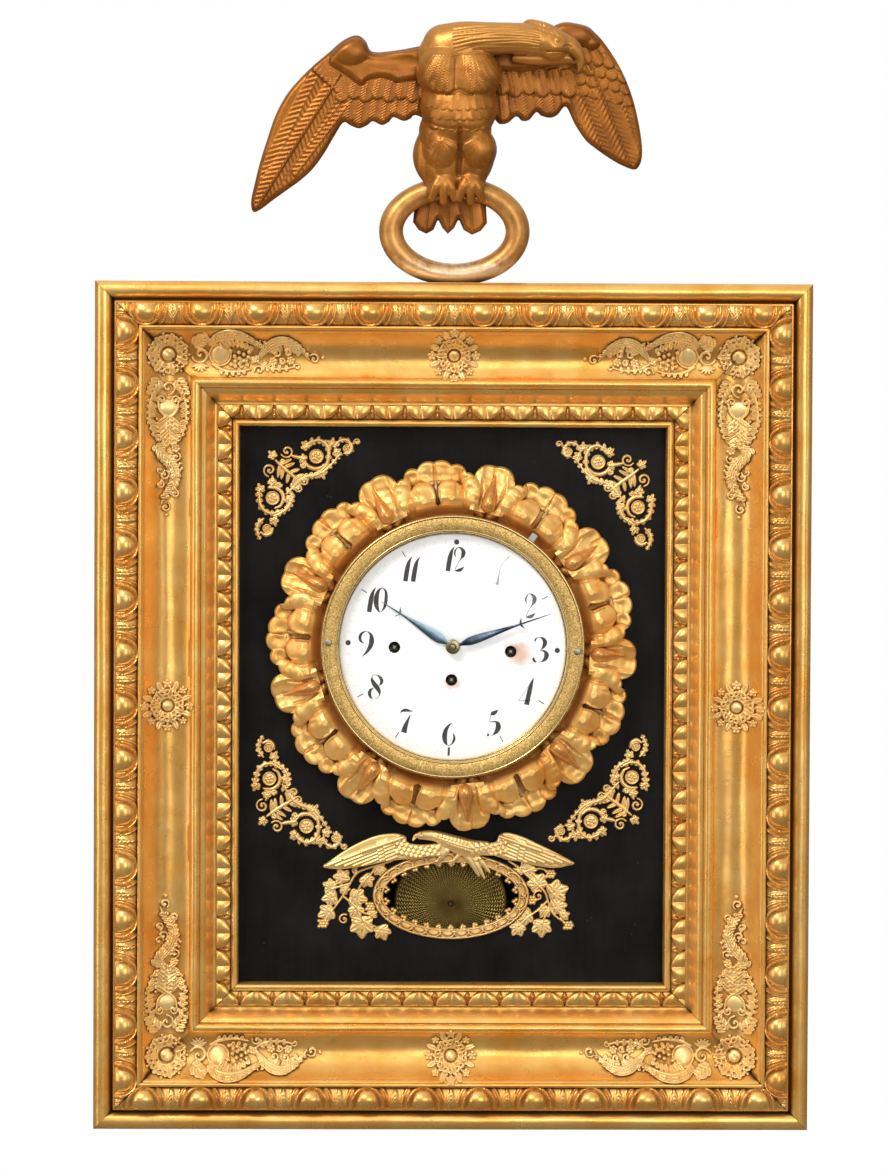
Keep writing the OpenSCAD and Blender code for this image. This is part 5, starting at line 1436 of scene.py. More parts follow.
# ---- Window ring, brass eagle and vines ----
def build_window_ring(M):
    """Overlapping scales between two rims, with small trefoils inside the opening."""
    reach_x, reach_z, rim_in, scales, trefoils = WINDOW_A + 2, WINDOW_B + 2, 7.3, 25, 26
    r = Relief(-reach_x, reach_x, WINDOW_Z - reach_z, WINDOW_Z + reach_z, 0.26)
    t = np.append(np.arange(400) * TAU / 400, TAU)

    def oval(inset):
        return np.stack([(WINDOW_A - inset) * np.cos(t), WINDOW_Z + (WINDOW_B - inset) * np.sin(t)], 1)

    r.stroke(oval(3.7), 3.7, 1.3, power=0.35)
    r.stroke(oval(0.9), 0.9, 3.0)
    r.stroke(oval(rim_in - 0.8), 0.8, 2.9)
    a = np.linspace(-1.57, 1.57, 16)
    for c, f in evenly_along(oval(3.7), scales):
        side = np.array([-f[1], f[0]])
        for size, width, high in ((1.0, 0.6, 3.1), (0.62, 0.5, 2.7)):
            arch = np.outer(np.sin(a) * 5.6 * size, f) - np.outer(np.cos(a) * 4.3 * size, side)
            r.stroke(c + 1.9 * side + arch, width, high)
        r.dome(*(c + 5.0 * f + 1.7 * side), 0.9, 3.2)
    for c, _ in evenly_along(oval(rim_in + 0.2), trefoils):
        into = np.array([0, WINDOW_Z]) - c
        into = into / np.hypot(into[0], 1.6 * into[1])
        side = np.array([-into[1], into[0]])
        for lobe, out in ((0, 2.5), (-1, 0.9), (1, 0.9)):
            r.dome(*(c + into * out + side * 1.5 * lobe), 1.35, 2.3)
    r.build("window_ring", PANEL + 0.15, M["mount"], sink=0.15, slot="mount_brass",
            replaces=("aperture_ring",))


def vine_leaf(o, a, b, size, angle):
    """A vine leaf: five lobes with veins, and small teeth between them."""
    for t, f in ((0, 1.0), (56, 0.9), (-56, 0.9), (112, 0.72), (-112, 0.72), (28, 0.74), (-28, 0.74),
                 (84, 0.66), (-84, 0.66)):
        d = math.radians(angle + t)
        o.leaf(a - 0.25 * size * math.cos(d), b - 0.25 * size * math.sin(d),
               a + size * f * math.cos(d), b + size * f * math.sin(d), size * (0.40 if f > 0.7 else 0.3), 2.0,
               0.5)


def grapes(o, a, b, count=9):
    for k in range(count):
        row, i = divmod(k, 3)
        o.dome(a + (i - 1) * 2.2 + (row % 2) * 1.1, b - row * 1.9 + 2, 1.45, 2.4)


def build_vines(M):
    replaced = ("vine_sprays",)
    plan = (
        ("vine_left", -98, -40,
         ([(-42, -152), (-50, -154.6), (-57, -156.6), (-66, -160.4), (-71.3, -168.2), (-76.5, -177.3),
           (-83, -186.3), (-88, -193)],
          [(-52, -155), (-57, -162), (-64, -170), (-66, -178), (-66, -186), (-62, -194), (-50, -200)],
          [(-76, -177), (-70, -182), (-63, -188), (-57, -190)], [(-71, -168), (-78, -170), (-84, -172)]),
         ((-76.5, -164.4, 5.6, 110), (-60, -165, 5.0, -50), (-84, -170.4, 5.0, 160),
          (-50.6, -157.4, 4.6, -70), (-83.6, -178, 5.6, 190),
          (-67.6, -178.2, 6.6, -10), (-67.4, -186.4, 5.4, -60), (-86, -188.4, 6.0, 200),
          (-62.6, -196, 8.0, -90), (-48.6, -201, 5.6, -70),
          (-76, -172, 3.8, 0), (-56, -190, 3.6, 30)),
         ((-90.6, -196.6), (-57, -184.4)), ((-67.5, -159.4, 2.2), (-75.4, -193.4, 3.8))),
        ("vine_right", 40, 90,
         ([(41, -152), (47, -156), (51.7, -160.4), (58, -166), (65.9, -173.4), (68.6, -181), (72, -189),
           (80, -195)],
          [(51, -160), (56, -158), (63, -157), (68, -159)],
          [(68, -180), (62, -186), (55, -191), (48.4, -197)],
          [(70, -186), (66, -192), (64.4, -198)]),
         ((53.4, -158, 6.0, 60), (61.4, -168.4, 6.8, 120), (73, -174, 7.6, 20), (74, -184, 6.0, 10),
          (66.6, -186, 4.8, -120),
          (53.6, -190.4, 6.0, 200), (48, -198.6, 5.4, 230), (64, -197, 6.6, -90), (79, -190.4, 3.8, 20),
          (46.6, -159, 3.6, -90)),
         ((69.6, -161), (56.2, -179.6), (82.4, -197.4)), ((61.6, -176.6, 4.0),)),
    )
    for name, x0, x1, stems, leaves, bunches, curls in plan:
        r = Relief(x0, x1, -211, -150, 0.28)
        o = Placed(r, (0, 0), (1, 0), (0, 1))
        for line in stems:
            o.curve(line, (1.0, 0.9, 0.8), 2.1)
        for a, b, size, angle in leaves:
            vine_leaf(o, a, b, size * 1.4, angle)
        for bunch in bunches:
            grapes(o, *bunch)
        for a, b, size in curls:
            o.curl(a, b, size, 0.8, 60, 470, 0.75, 2.0)
        r.h[(r.X / (WINDOW_A + 0.3)) ** 2 + ((r.Z - WINDOW_Z) / (WINDOW_B + 0.3)) ** 2 < 1] = -1
        r.build(name, PANEL + 0.2, M["mount"], sink=0.15, slot="mount_brass", replaces=replaced)
        replaced = ()


# ---- Eagle ----
NOWHERE = 1e3
AROUND = ((1, 0), (-1, 0), (0, 1), (0, -1), (1, 1), (-1, -1), (1, -1), (-1, 1))      # the eight neighbours


def inside_distance(X, Z, outline):
    """Distance in mm from the outline, positive inside it."""
    near = np.full(X.shape, NOWHERE)
    inside = np.zeros(X.shape, bool)
    for a, b in zip(outline, np.roll(outline, -1, 0)):
        near = np.minimum(near, along_segment(X, Z, a, b)[1])
        if a[1] != b[1]:
            inside ^= ((a[1] > Z) != (b[1] > Z)) & (X < a[0] + (Z - a[1]) / (b[1] - a[1]) * (b[0] - a[0]))
    return np.where(inside, near, -near)


def closed_curve(points):
    n = 6
    p = np.asarray(points, float)
    line = catmull(np.vstack([p[-1:], p, p[:2]]), n)
    return line[n:-n - 1]


class Carving:
    """A solid carving: a front and a back surface over a grid, with a skin of feathers on its front."""

    def __init__(self, x0, x1, z0, z1, step):
        self.step = step
        self.X, self.Z = np.meshgrid(np.arange(x0, x1 + step, step), np.arange(z0, z1 + step, step),
                                     indexing="ij")
        self.front = np.full(self.X.shape, -NOWHERE)
        self.back = np.full(self.X.shape, NOWHERE)
        self.skin = np.zeros(self.X.shape)

    def join(self, front, back, blend):
        for name, value, way in (("front", front, 1), ("back", back, -1)):
            old = getattr(self, name)
            h = np.clip(0.5 + 0.5 * way * (value - old) / blend, 0, 1)
            setattr(self, name, old + (value - old) * h + way * blend * h * (1 - h))

    def ball(self, x, z, d, rx, rz, rd, turn=0, blend=4.0):
        c, s = math.cos(math.radians(turn)), math.sin(math.radians(turn))
        X, Z = self.X - x, self.Z - z
        q = 1 - ((X * c + Z * s) / rx) ** 2 - ((Z * c - X * s) / rz) ** 2
        bulge = rd * np.sign(q) * np.sqrt(np.abs(q))
        self.join(d + bulge, d - bulge, blend)

    def limb(self, points, blend=3.0, flat=1.0):
        """A round limb through points given as x, z, d and radius; flat squashes it towards the wall."""
        front, back = np.full(self.X.shape, -NOWHERE), np.full(self.X.shape, NOWHERE)
        line = catmull(points, 6)
        for a, b in zip(line, line[1:]):
            t, off = along_segment(self.X, self.Z, a[:2], b[:2])
            q = (a[3] + (b[3] - a[3]) * t) ** 2 - off ** 2
            d = a[2] + (b[2] - a[2]) * t
            bulge = flat * np.sign(q) * np.sqrt(np.abs(q))
            front, back = np.maximum(front, d + bulge), np.minimum(back, d - bulge)
        self.join(front, back, blend)

    def slab(self, outline, middle, front, back, edge):
        """A flat body with rounded edges inside the outline."""
        q = np.clip(inside_distance(self.X, self.Z, outline) / edge, -4, 1)
        bulge = np.where(q > 0, np.sqrt(np.maximum(q * (2 - q), 0)), -np.sqrt(np.maximum(-2 * q, 0)))
        self.join(middle + front * bulge, middle - back * bulge, 1.0)

    def plate(self, outline, height, edge):
        q = np.clip(inside_distance(self.X, self.Z, outline) / edge, 0, 1)
        self.skin = np.maximum(self.skin, height * np.sqrt(q * (2 - q)))

    def feather(self, root, tip, width, height, barb=0.22, pitch=1.9, shaft=0.45, low=0.3):
        """A feather that rises towards its rounded tip, with a shaft and slanted barbs."""
        root, tip = np.asarray(root, float), np.asarray(tip, float)
        d = tip - root
        length = np.hypot(*d)
        d = d / length
        X, Z = self.X - root[0], self.Z - root[1]
        t, side = X * d[0] + Z * d[1], Z * d[0] - X * d[1]
        body = max(length - width, 1.0)
        round_tip = np.sqrt(np.clip(1 - (np.maximum(t - body, 0) / (length - body)) ** 2, 1e-6, 1))
        q = np.abs(side) / (width * np.minimum(0.7 + 0.3 * t / body, 1) * round_tip + 1e-6)
        rise = height * (low + (1 - low) * t / length) * np.sqrt(np.clip(1 - 0.7 * q ** 2, 0, 1))
        rise = rise + barb * np.cos(TAU * (t - 0.9 * np.abs(side)) / pitch) * np.clip(1.3 - q, 0, 1)
        rise = rise + shaft * np.exp(-(side / 0.55) ** 2)
        self.skin = np.where((t > 0) & (t < length) & (q < 1), np.maximum(self.skin, rise), self.skin)

    def groove(self, points, width, depth):
        line = catmull(points, 6)
        near = np.full(self.X.shape, NOWHERE)
        for a, b in zip(line, line[1:]):
            near = np.minimum(near, along_segment(self.X, self.Z, a, b)[1])
        self.skin = self.skin - depth * np.exp(-(near / width) ** 2)

    def swell(self, x, z, rx, rz, height):
        """A low swelling in the skin, or a hollow if its height is below zero."""
        share = 1 - ((self.X - x) / rx) ** 2 - ((self.Z - z) / rz) ** 2
        self.skin = self.skin + height * np.clip(share, 0, 1)

    def spot(self, x, z, size, height):
        """A small round spot that stands up, or a pit if its height is below zero."""
        self.skin = self.skin + height * np.exp(-(((self.X - x) ** 2 + (self.Z - z) ** 2) / size))

    def build(self, name, material, skin_fade=2.5, **kw):
        thick = self.front - self.back
        middle = (self.front + self.back) / 2
        solid = thick > 0
        front = self.front + self.skin * np.clip(thick / skin_fade, 0, 1)
        # vertices just outside slide to where the thickness runs out, which makes the outline smooth
        shift, count, rim = np.zeros(solid.shape + (2,)), np.zeros(solid.shape), middle
        for i, j in AROUND:
            near = np.roll(thick, (-i, -j), (0, 1))
            use = ~solid & (near > 0)
            part = np.clip(thick ** 2 / (thick ** 2 + near ** 2 + 1e-9), 0, 1)
            shift[use] += (part * self.step)[use][:, None] * np.array([i, j])
            count += use
            rim = np.where(use, np.roll(middle, (-i, -j), (0, 1)), rim)
        X, Z = (grid + shift[..., k] / np.maximum(count, 1) for k, grid in enumerate((self.X, self.Z)))
        head = np.stack([X, np.where(solid, front, rim), Z], -1)
        tail = np.stack([X, np.where(solid, self.back, rim), Z], -1)
        sheet_object(name, head, tail, solid, material, **kw)


def build_brass_eagle(M):
    """The flat cast eagle that spreads its wings over the window."""
    c = Carving(-93, 90, -167, -126, 0.3)
    left = closed_curve([(-90.4, -155.8), (-84, -150.6), (-76.5, -145.4), (-69, -140.8), (-61, -136.9),
                         (-54, -134.2), (-48, -132.8),
                         (-41, -132.2), (-36.4, -132.6), (-32, -134.4), (-31, -138), (-27, -139.6),
                         (-20, -140), (-11, -139.4), (-4, -139.6),
                         (-4, -148), (-12, -148.4), (-25, -150), (-38, -151.2), (-48, -152.6), (-56, -154.4),
                         (-63.6, -156), (-73, -157.2),
                         (-83, -157.6)])
    right = closed_curve([(6, -139), (19, -137.4), (27, -138.6), (31.6, -137.4), (33, -133.8), (36, -131.8),
                          (40, -131.4), (46, -132.8),
                          (53, -135.4), (60, -138.8), (68.5, -142.8), (78, -147.6), (86.8, -153),
                          (80, -155.4), (72.4, -156.4),
                          (62, -155.2), (53, -153.2), (46, -151.6), (40, -151), (32, -148.4), (25, -147.6),
                          (6, -148)])
    for outline in (left, right):
        c.slab(outline, 101.8, 1.5, 1.0, 1.6)
    for side, root, wrist, tip in ((-1, (-8, -143), (-38, -136.4), (-89, -155.6)),
                                   (1, (14, -142), (38, -135.4), (85.4, -152.8))):
        root, wrist, tip = map(np.array, (root, wrist, tip))
        for k in range(6):
            f = k / 5
            start = wrist + np.array([side * (6 - 3 * f), -1.6 - 10.6 * f])
            end = tip + np.array([-side * (1 + 31 * f), 0.2 - 0.8 * f * (1 - 1.3 * f)])
            c.feather(start, end, 2.0, 1.5 - 0.12 * k, 0.06, 1.6, 0.35, 0.6)
        for row in range(2):
            for k in range(6):
                start = wrist + np.array([side * (2 + 4.5 * row - 0.5 * k), -0.4 - 2.3 * k])
                c.feather(start, start + np.array([side * 8.5, -3.4]), 1.8, 1.9 - 0.2 * row, 0.06, 1.2, 0.2)
        count = 9 if side < 0 else 7
        for row in range(4):
            for k in range(count):
                f = (k + 0.5 * (row % 2)) / count
                at = root * (1 - f) + wrist * f + np.array([0, 3.4 - 3.0 * row])
                c.feather(at, at + np.array([side * 2.2, -4.2]), 1.9, 1.9, 0.04, 1.2, 0.1)
        c.feather(wrist + (-side * 5, 1.6), wrist + (side * 26, -9.2), 1.9, 2.2, 0.05, 1.4, 0.1, 0.8)
        socket = np.hypot(c.X - tip[0] + side * 12.4, c.Z - tip[1] - 4.4)
        c.skin = c.skin - 1.2 * np.exp(-(socket / 0.8) ** 4)
    c.limb([(24, -142, 101.6, 4.4), (15, -142.6, 101.8, 6.0), (6, -140.8, 102, 6.4), (-3, -137, 102.2, 4.9),
            (-11, -134.2, 102.2, 3.9),
            (-18, -133.4, 102.2, 3.4), (-21.6, -133.6, 102.2, 3.0)], 0.8, flat=0.62)
    c.limb([(-21, -133.4, 102, 2.7), (-25, -134.2, 102, 1.7), (-27, -137, 102, 0.7)], 0.4, flat=0.7)
    for start, end, r in (((9, -146), (19.4, -162), 2.3), ((11, -146), (23.4, -163.6), 2.3),
                          ((14, -146), (27, -159.6), 2.2)):
        mid = ((start[0] + end[0]) / 2 + 0.6, (start[1] + end[1]) / 2 + 0.8)
        c.limb([(*start, 101.6, r), (*mid, 101.6, r), (*end, 101.4, 0.8)], 0.3, flat=0.7)
    for x in (-7, 4):
        c.limb([(x + 4, -144.6, 102, 2.2), (x, -149, 102, 1.5), (x - 2.4, -151.4, 102, 1.1)], 0.4, flat=0.8)
        for t in (-165, -125, -85):
            reach = (x - 2.4 + 3.4 * math.cos(math.radians(t)), -151.4 + 2.8 * math.sin(math.radians(t)))
            c.limb([(x - 2.4, -151.4, 102, 1.0), (*reach, 101.8, 0.5)], 0.3, flat=0.8)
    for k in range(14):
        f = k / 13
        for d in (-3.2, -1.1, 1.1, 3.2):
            shrink = 1.1 - 0.45 * f
            at = (20 - 33 * f + (1.2 if d > 0 else 0), -142.4 + 9.0 * f ** 1.1 + d * shrink)
            c.feather(at, (at[0] + 3.0, at[1] - 1.2), 1.3, 0.8, 0.04, 1.0, 0.1)
    c.spot(-21, -132.6, 0.35, -0.8)
    c.build("brass_eagle", M["mount"], 0.8, slot="mount_brass", replaces=("eagle_mount",))


def build_eagle_ring(M):
    """The round ring that the eagle stands on, flat where it rests on the frame."""
    n, m = 220, 40
    t, a = np.meshgrid(np.arange(n) * TAU / n, np.arange(m) * TAU / m, indexing="ij")
    tube_u, tube_d = 8.4, 8.8
    c, s = np.cos(t), np.sin(t)
    cx, cz = 44.3 * c, 290.5 + 30.3 * s
    nx, nz = c / 44.3, s / 30.3
    long_ = np.hypot(nx, nz)
    x = cx + tube_u * np.cos(a) * nx / long_
    z = np.maximum(cz + (tube_u - 0.7 * np.abs(s)) * np.cos(a) * nz / long_, FRAME_TOP + 0.03)
    verts = np.stack([x, 104 + tube_d * np.sin(a), z], -1).reshape(-1, 3)
    mesh_object("eagle_ring_round", verts, grid_quads(n, m, wrap_u=True, wrap_v=True), M["ring"],
                slot="carved_eagle_gilding", replaces=("eagle_ring",))


def eagle_torso(c):
    c.ball(0, 412, 113, 26, 22, 17, blend=6)
    c.ball(-10, 400, 118, 17.5, 17, 16, 12, blend=10)
    c.ball(15, 399, 118, 17.5, 17, 16, -12, blend=10)
    c.ball(2.7, 377, 115, 27, 25, 19, blend=12)
    c.ball(-1, 343, 110, 28.4, 27, 14, blend=8)
    c.ball(0, 360, 113, 25, 20, 17.5, blend=12)
    for x in (-10, 16.5):
        c.ball(x, 347, 115, 12.5, 14.5, 14, blend=7)
        c.limb([(x, 340, 115, 9), (x * 0.9, 330, 115, 7.5), (x * 0.8, 324, 115, 5)])


def eagle_neck(c):
    c.limb([(-8, 419, 113, 15), (6, 422, 117, 13.5), (24, 423, 121, 11.6), (42, 423.5, 123, 10.6),
            (58, 422, 122, 10.6),
            (66, 420, 121, 11)], 2.0)
    c.ball(67.5, 419, 121, 12, 11.4, 12, blend=2.0)
    c.limb([(72, 421, 121, 8), (80, 418, 121, 6.4), (86, 411.5, 121, 4.2), (87, 404.5, 121, 2.4),
            (85.4, 401, 121, 0.9)], 2.0)
    c.limb([(42, 410, 119, 3.4), (56, 409.6, 119, 4.4), (70, 410.4, 119, 5), (79, 410, 120, 3.4),
            (82.5, 407.4, 120, 1.4)], 0.6)
    c.limb([(50, 433.8, 117, 3.0), (54, 432.0, 120, 4.8), (62, 429.2, 122, 5.4), (71, 426.5, 122, 4.0)], 0.8)


def eagle_feet(c):
    for x in (-8, 11):
        for way, fall in ((-8.4, 0), (0, 2.2), (7.6, 0)):
            c.limb([(x, 330, 116, 5), (x + 0.6 * way, 321, 120, 4.0), (x + way, 312.5 - fall, 118, 2.7)], 1.2)


def eagle_plumage(c):
    for x0, way in ((-3, -1), (8, 1)):
        for k in range(5):
            f = k / 4
            c.feather((x0 + way * (1 + 9 * f), 411), (x0 + way * (3 + 20 * f), 384.5 + 6.5 * f * f), 4.6, 1.7,
                      0.3, 1.9, 0.2)
    c.groove([(-24, 391), (-18, 385.6), (-10, 383.2), (-3, 384), (2.4, 386.5), (8, 384), (15, 383),
              (23, 385.6), (28, 391)], 1.0, 1.2)
    for row in range(3):
        for k in range(9 - row):
            x = 2.7 + (k - (8 - row) / 2) * 5.8
            sag = 0.0055 * (x - 2.7) ** 2
            c.feather((x * 0.9, 383 - 7.0 * row + sag * 0.5), (x, 372 - 7.0 * row + sag), 3.9, 1.1, 0.2, 1.4,
                      0.12)
    c.groove([(-22, 366), (-12, 361.5), (-3, 359.6), (3.4, 360.6), (10, 359.6), (18, 361.5), (26, 366)], 1.2,
             1.0)
    c.groove([(3.2, 360), (3.4, 350), (3.0, 340), (2.4, 329)], 1.9, 3.2)
    for x0 in (-10, 16.5):
        for k in range(7):
            a = math.radians(-160 + 140 * k / 6)
            c.feather((x0, 352), (x0 + 12 * math.cos(a), 350 + 15 * math.sin(a)), 3.4, 0.9, 0.2, 1.5, 0.15)
    for x0 in (-25, -21, 23.5, 27):
        c.feather((x0, 356), (x0 * 1.04, 326), 2.6, 0.9, 0.25, 1.8, 0.1)
    # long wavy lines along the neck
    for k, lift in enumerate((-7.6, -5.4, -3.2, -1.0, 1.2, 3.4, 5.6, 7.8)):
        wave = 0.7 * math.sin(k * 2.1)
        c.groove([(-2, 419 + 1.25 * lift), (14, 422 + lift + wave), (30, 423 + lift),
                  (46, 423 + lift * 0.95 - wave), (58, 421.5 + 0.9 * lift)], 0.42, 0.75)
    for k in range(6):
        c.groove([(51 + 3 * k, 437.5 - 1.7 * k), (54 + 3 * k, 431 - 1.1 * k),
                  (60 + 2.4 * k, 427.6 - 0.8 * k)], 0.4, 0.7)
    c.groove([(63, 413.8), (71, 414.2), (78, 413.6), (83, 409)], 0.7, 2.4)
    c.groove([(75, 417), (78, 418.4), (80, 417)], 0.5, 0.9)
    c.spot(70.5, 421.6, 9.5, -1.6)
    c.spot(70.5, 421.6, 3.2, 1.9)


def build_eagle_body(M):
    c = Carving(-34, 92, 303, 444, 0.55)
    eagle_torso(c)
    eagle_neck(c)
    eagle_feet(c)
    c.back = np.maximum(c.back, 95.1)
    eagle_plumage(c)
    c.skin = c.skin + np.minimum(0, 140.6 - c.front - c.skin)
    c.build("eagle_carved_body", M["eagle_body"], slot="carved_eagle_gilding", replaces=("eagle_body",))


def build_eagle_tail(M):
    c = Carving(-32, 27, 285, 332, 0.5)
    outline = np.array([(-27, 318), (-29, 297), (-25, 291.4), (-19.5, 288.8), (-14.5, 291.6), (-11.4, 299),
                        (-8.4, 293), (-4.5, 288.8),
                        (0, 293), (3, 299.4), (6.6, 291.6), (12.4, 288.3), (18.6, 291), (23, 296.6),
                        (21.6, 318)], float)
    c.slab(outline, 100, 3.2, 3.4, 3.5)
    for x in (-20.5, -4.5, 13):
        c.feather((x * 0.8, 322), (x, 287), 8.6, 1.8, 0.22, 1.9, 0.9)
    c.build("eagle_tail", M["eagle"], slot="carved_eagle_gilding")


def build_left_wing(M):
    c = Carving(-146, -8, 298, 432, 0.55)
    outline = closed_curve([(-8, 423), (-25, 419.7), (-41.4, 416.6), (-57.8, 415.6), (-62.6, 423),
                            (-69, 426.9), (-78.4, 423.3),
                            (-88.6, 414.6), (-98.9, 405.9), (-109, 396), (-118, 385), (-125.5, 371),
                            (-131, 355), (-136, 339), (-139.5, 325),
                            (-142.4, 311), (-141, 303.6), (-136, 305), (-128, 311), (-117, 319),
                            (-108, 325.5), (-98.9, 334), (-91, 345),
                            (-84, 357), (-78, 366), (-73, 364), (-67, 362), (-61, 364.4), (-57.4, 367),
                            (-51, 364.4), (-46, 366.8),
                            (-43, 370), (-36, 367.4), (-31, 369), (-27, 371.5), (-8, 368)])
    swing = 100 + 2.0 * np.cos((c.X + 60) / 38)
    c.slab(outline, swing, 4.4, 4.2, 3.6)
    # long feathers of the blade, the middle one on top
    c.feather((-72, 390), (-126, 318), 11.5, 1.5, 0.2, 4.2, 0.5, 0.6)
    c.feather((-70, 384), (-112, 328), 7.0, 2.2, 0.2, 4.0, 0.7, 0.6)
    c.feather((-93, 404), (-141, 306), 9.0, 1.3, 0.2, 4.2, 0.4, 0.6)
    c.feather((-80, 399), (-139, 305), 8.5, 2.4, 0.2, 4.0, 1.8, 0.6)
    for k, (x, z) in enumerate(((-75, 366.5), (-66.5, 361.6), (-57, 364.5), (-50, 363.6), (-42.5, 368),
                                (-35, 366.4), (-27.5, 369.6), (-20, 368))):
        c.feather((x + 4.5, 397), (x, z), 5.8, 2.3, 0.30, 2.1, 0.35)
    for k in range(8):
        x = -80 + 8.2 * k
        c.feather((x + 5, 402), (x, 380 + 2.0 * (k % 2)), 5.4, 2.9, 0.28, 2.0, 0.3)
    for k in range(8):
        f = k / 7
        c.feather((-88 + 12 * f, 412 - 7 * f), (-99 + 19 * f, 401 - 17 * f), 3.9, 2.7, 0.2, 1.6, 0.2)
    plate = closed_curve([(-8, 421), (-25, 418), (-41.4, 415), (-57, 414), (-62, 421), (-69, 425),
                          (-77.4, 421.6), (-86.6, 413.4),
                          (-88, 406.8), (-82, 402), (-74, 397), (-69, 392.6), (-64.6, 391.6), (-60, 395.4),
                          (-53, 397), (-46.6, 396),
                          (-41, 393.4), (-34, 394.6), (-26, 395.4), (-8, 396)])
    c.plate(plate, 4.4, 4.4)
    c.swell(-73, 415, 13, 10, 3.2)
    c.swell(-44, 408, 20, 6, -1.5)
    c.build("eagle_left_wing", M["eagle"], slot="carved_eagle_gilding", replaces=("eagle_wings",))


def build_right_wing(M):
    c = Carving(12, 137, 330, 443, 0.55)
    outline = closed_curve([(12, 426), (40, 431), (60, 429), (66, 432), (71, 435.4), (78.5, 437.0),
                            (91.7, 434.6), (98, 429.8), (104, 423.5),
                            (112.6, 411), (119.9, 397), (125.4, 382), (129, 367), (131, 355), (131.6, 345.4),
                            (130, 338), (126, 334.5),
                            (117, 337.6), (109, 342), (99.6, 348.4), (91.7, 354.8), (84, 366), (77.7, 378),
                            (72, 372.4), (66.7, 370.2),
                            (60.5, 371.6), (57, 374), (52, 368.6), (47, 368), (43, 371), (37, 366.4),
                            (31, 365.8), (26, 370), (12, 372)])
    swing = 100 + 2.0 * np.cos((c.X - 60) / 38)
    c.slab(outline, swing, 4.4, 4.2, 3.6)
    c.feather((84, 398), (107, 340), 11.0, 1.4, 0.28, 3.8, 0.5, 0.6)
    c.feather((108, 412), (131, 338), 9.0, 1.3, 0.28, 3.8, 0.4, 0.6)
    c.feather((94, 408), (124, 334), 11.0, 2.3, 0.28, 3.8, 1.3, 0.6)
    for x, z in ((70, 368.6), (62, 371), (51, 366.6), (44, 370), (33, 364), (24, 369)):
        c.feather((x - 3, 398), (x, z), 6.2, 2.3, 0.30, 2.1, 0.35)
    for k in range(7):
        c.feather((20 + 9.6 * k, 404), (24 + 9.4 * k, 384 + 1.6 * (k % 2)), 5.6, 2.8, 0.28, 2.0, 0.3)
    for row in range(4):
        for k in range(5):
            a = math.radians(-62 + 3 * row)
            x, z = 80 + 8.0 * k + 1.6 * row, 420 - 8.4 * row - 1.6 * k
            c.feather((x, z), (x + 12 * math.cos(a), z + 12 * math.sin(a)), 4.8, 3.1 - 0.35 * row, 0.26, 1.7,
                      0.2)
    plate = closed_curve([(12, 424), (40, 429), (60, 427), (66, 431), (71, 435.4), (78.5, 437.2), (90.7, 434),
                          (98, 427.4), (101, 421),
                          (95, 417.6), (88, 420), (81, 417), (70, 408), (50, 402), (34, 402), (12, 400)])
    c.plate(plate, 4.0, 4.4)
    c.swell(81, 428, 15, 9, 2.4)
    c.build("eagle_right_wing", M["eagle"], slot="carved_eagle_gilding")


# ---- Scene ----
def build_stage():
    floor_z = FRAME_LO[2] - 260
    verts = [(-3000, -3400, floor_z), (3000, -3400, floor_z), (3000, 850, floor_z), (-3000, 850, floor_z)]
    mesh = bpy.data.meshes.new("floor")
    mesh.from_pydata([(x * MM, y * MM, z * MM) for x, y, z in verts], [], [(0, 1, 2, 3)])
    mesh.materials.append(Nodes("studio_floor").finish((0.93, 0.93, 0.93), 0.8))
    floor = bpy.data.objects.new("floor", mesh)
    bpy.context.scene.collection.objects.link(floor)
    floor.visible_glossy = False


def build_world():
    """A bright studio: white overhead, greyer to the sides and warm dark below, for the gold to reflect."""
    world = bpy.data.worlds.new("studio")
    bpy.context.scene.world = world
    world.use_nodes = True
    tree = world.node_tree
    tree.nodes.clear()

    def add(kind, output, inputs, **settings):
        return add_node(tree, kind, inputs, **settings).outputs[output]

    split = add_node(tree, "ShaderNodeSeparateXYZ", {0: add("ShaderNodeTexCoord", "Generated", {})})
    up = add("ShaderNodeMath", 0, {0: split.outputs["Z"], 1: 0.5, 2: 0.5}, operation="MULTIPLY_ADD")
    sky = add_node(tree, "ShaderNodeValToRGB", {"Fac": up})
    greys = ((0.0, 0.10), (0.40, 0.20), (0.52, 0.50), (0.72, 1.1), (1.0, 1.3))
    set_stops(sky, [(place, (v, v * 0.985, v * 0.96)) for place, v in greys])
    # the sides of the room are darker than its front
    side = add("ShaderNodeMath", 0, {0: split.outputs["X"]}, operation="ABSOLUTE")
    dim = add("ShaderNodeMath", 0, {0: side, 1: -0.42, 2: 0.72}, operation="MULTIPLY_ADD")
    lit = add("ShaderNodeBackground", 0, {"Color": sky.outputs["Color"], "Strength": dim})
    white = add("ShaderNodeBackground", 0, {"Color": (1, 1, 1), "Strength": 1.0})
    seen = add("ShaderNodeLightPath", "Is Camera Ray", {})
    mixed = add("ShaderNodeMixShader", 0, {0: seen, 1: lit, 2: white})
    add_node(tree, "ShaderNodeOutputWorld", {"Surface": mixed})


def area_light(name, place, aim, size, power, colour=(1, 1, 1)):
    data = bpy.data.lights.new(name, "AREA")
    data.shape = "RECTANGLE"
    data.size, data.size_y = size
    data.energy = power
    data.color = colour
    obj = bpy.data.objects.new(name, data)
    bpy.context.scene.collection.objects.link(obj)
    obj.location = place
    obj.rotation_euler = (Vector(aim) - Vector(place)).to_track_quat("-Z", "Y").to_euler()


CAMERA_PLACE = (-0.06, -3.0, 0.130)
CAMERA_TURN = (-1.754, -1.067,
               -0.273)      # degrees upwards, to the left and of roll; it looks down and right
LENS, SENSOR = 84.41, 24.0        # millimetres; the sensor size is its height


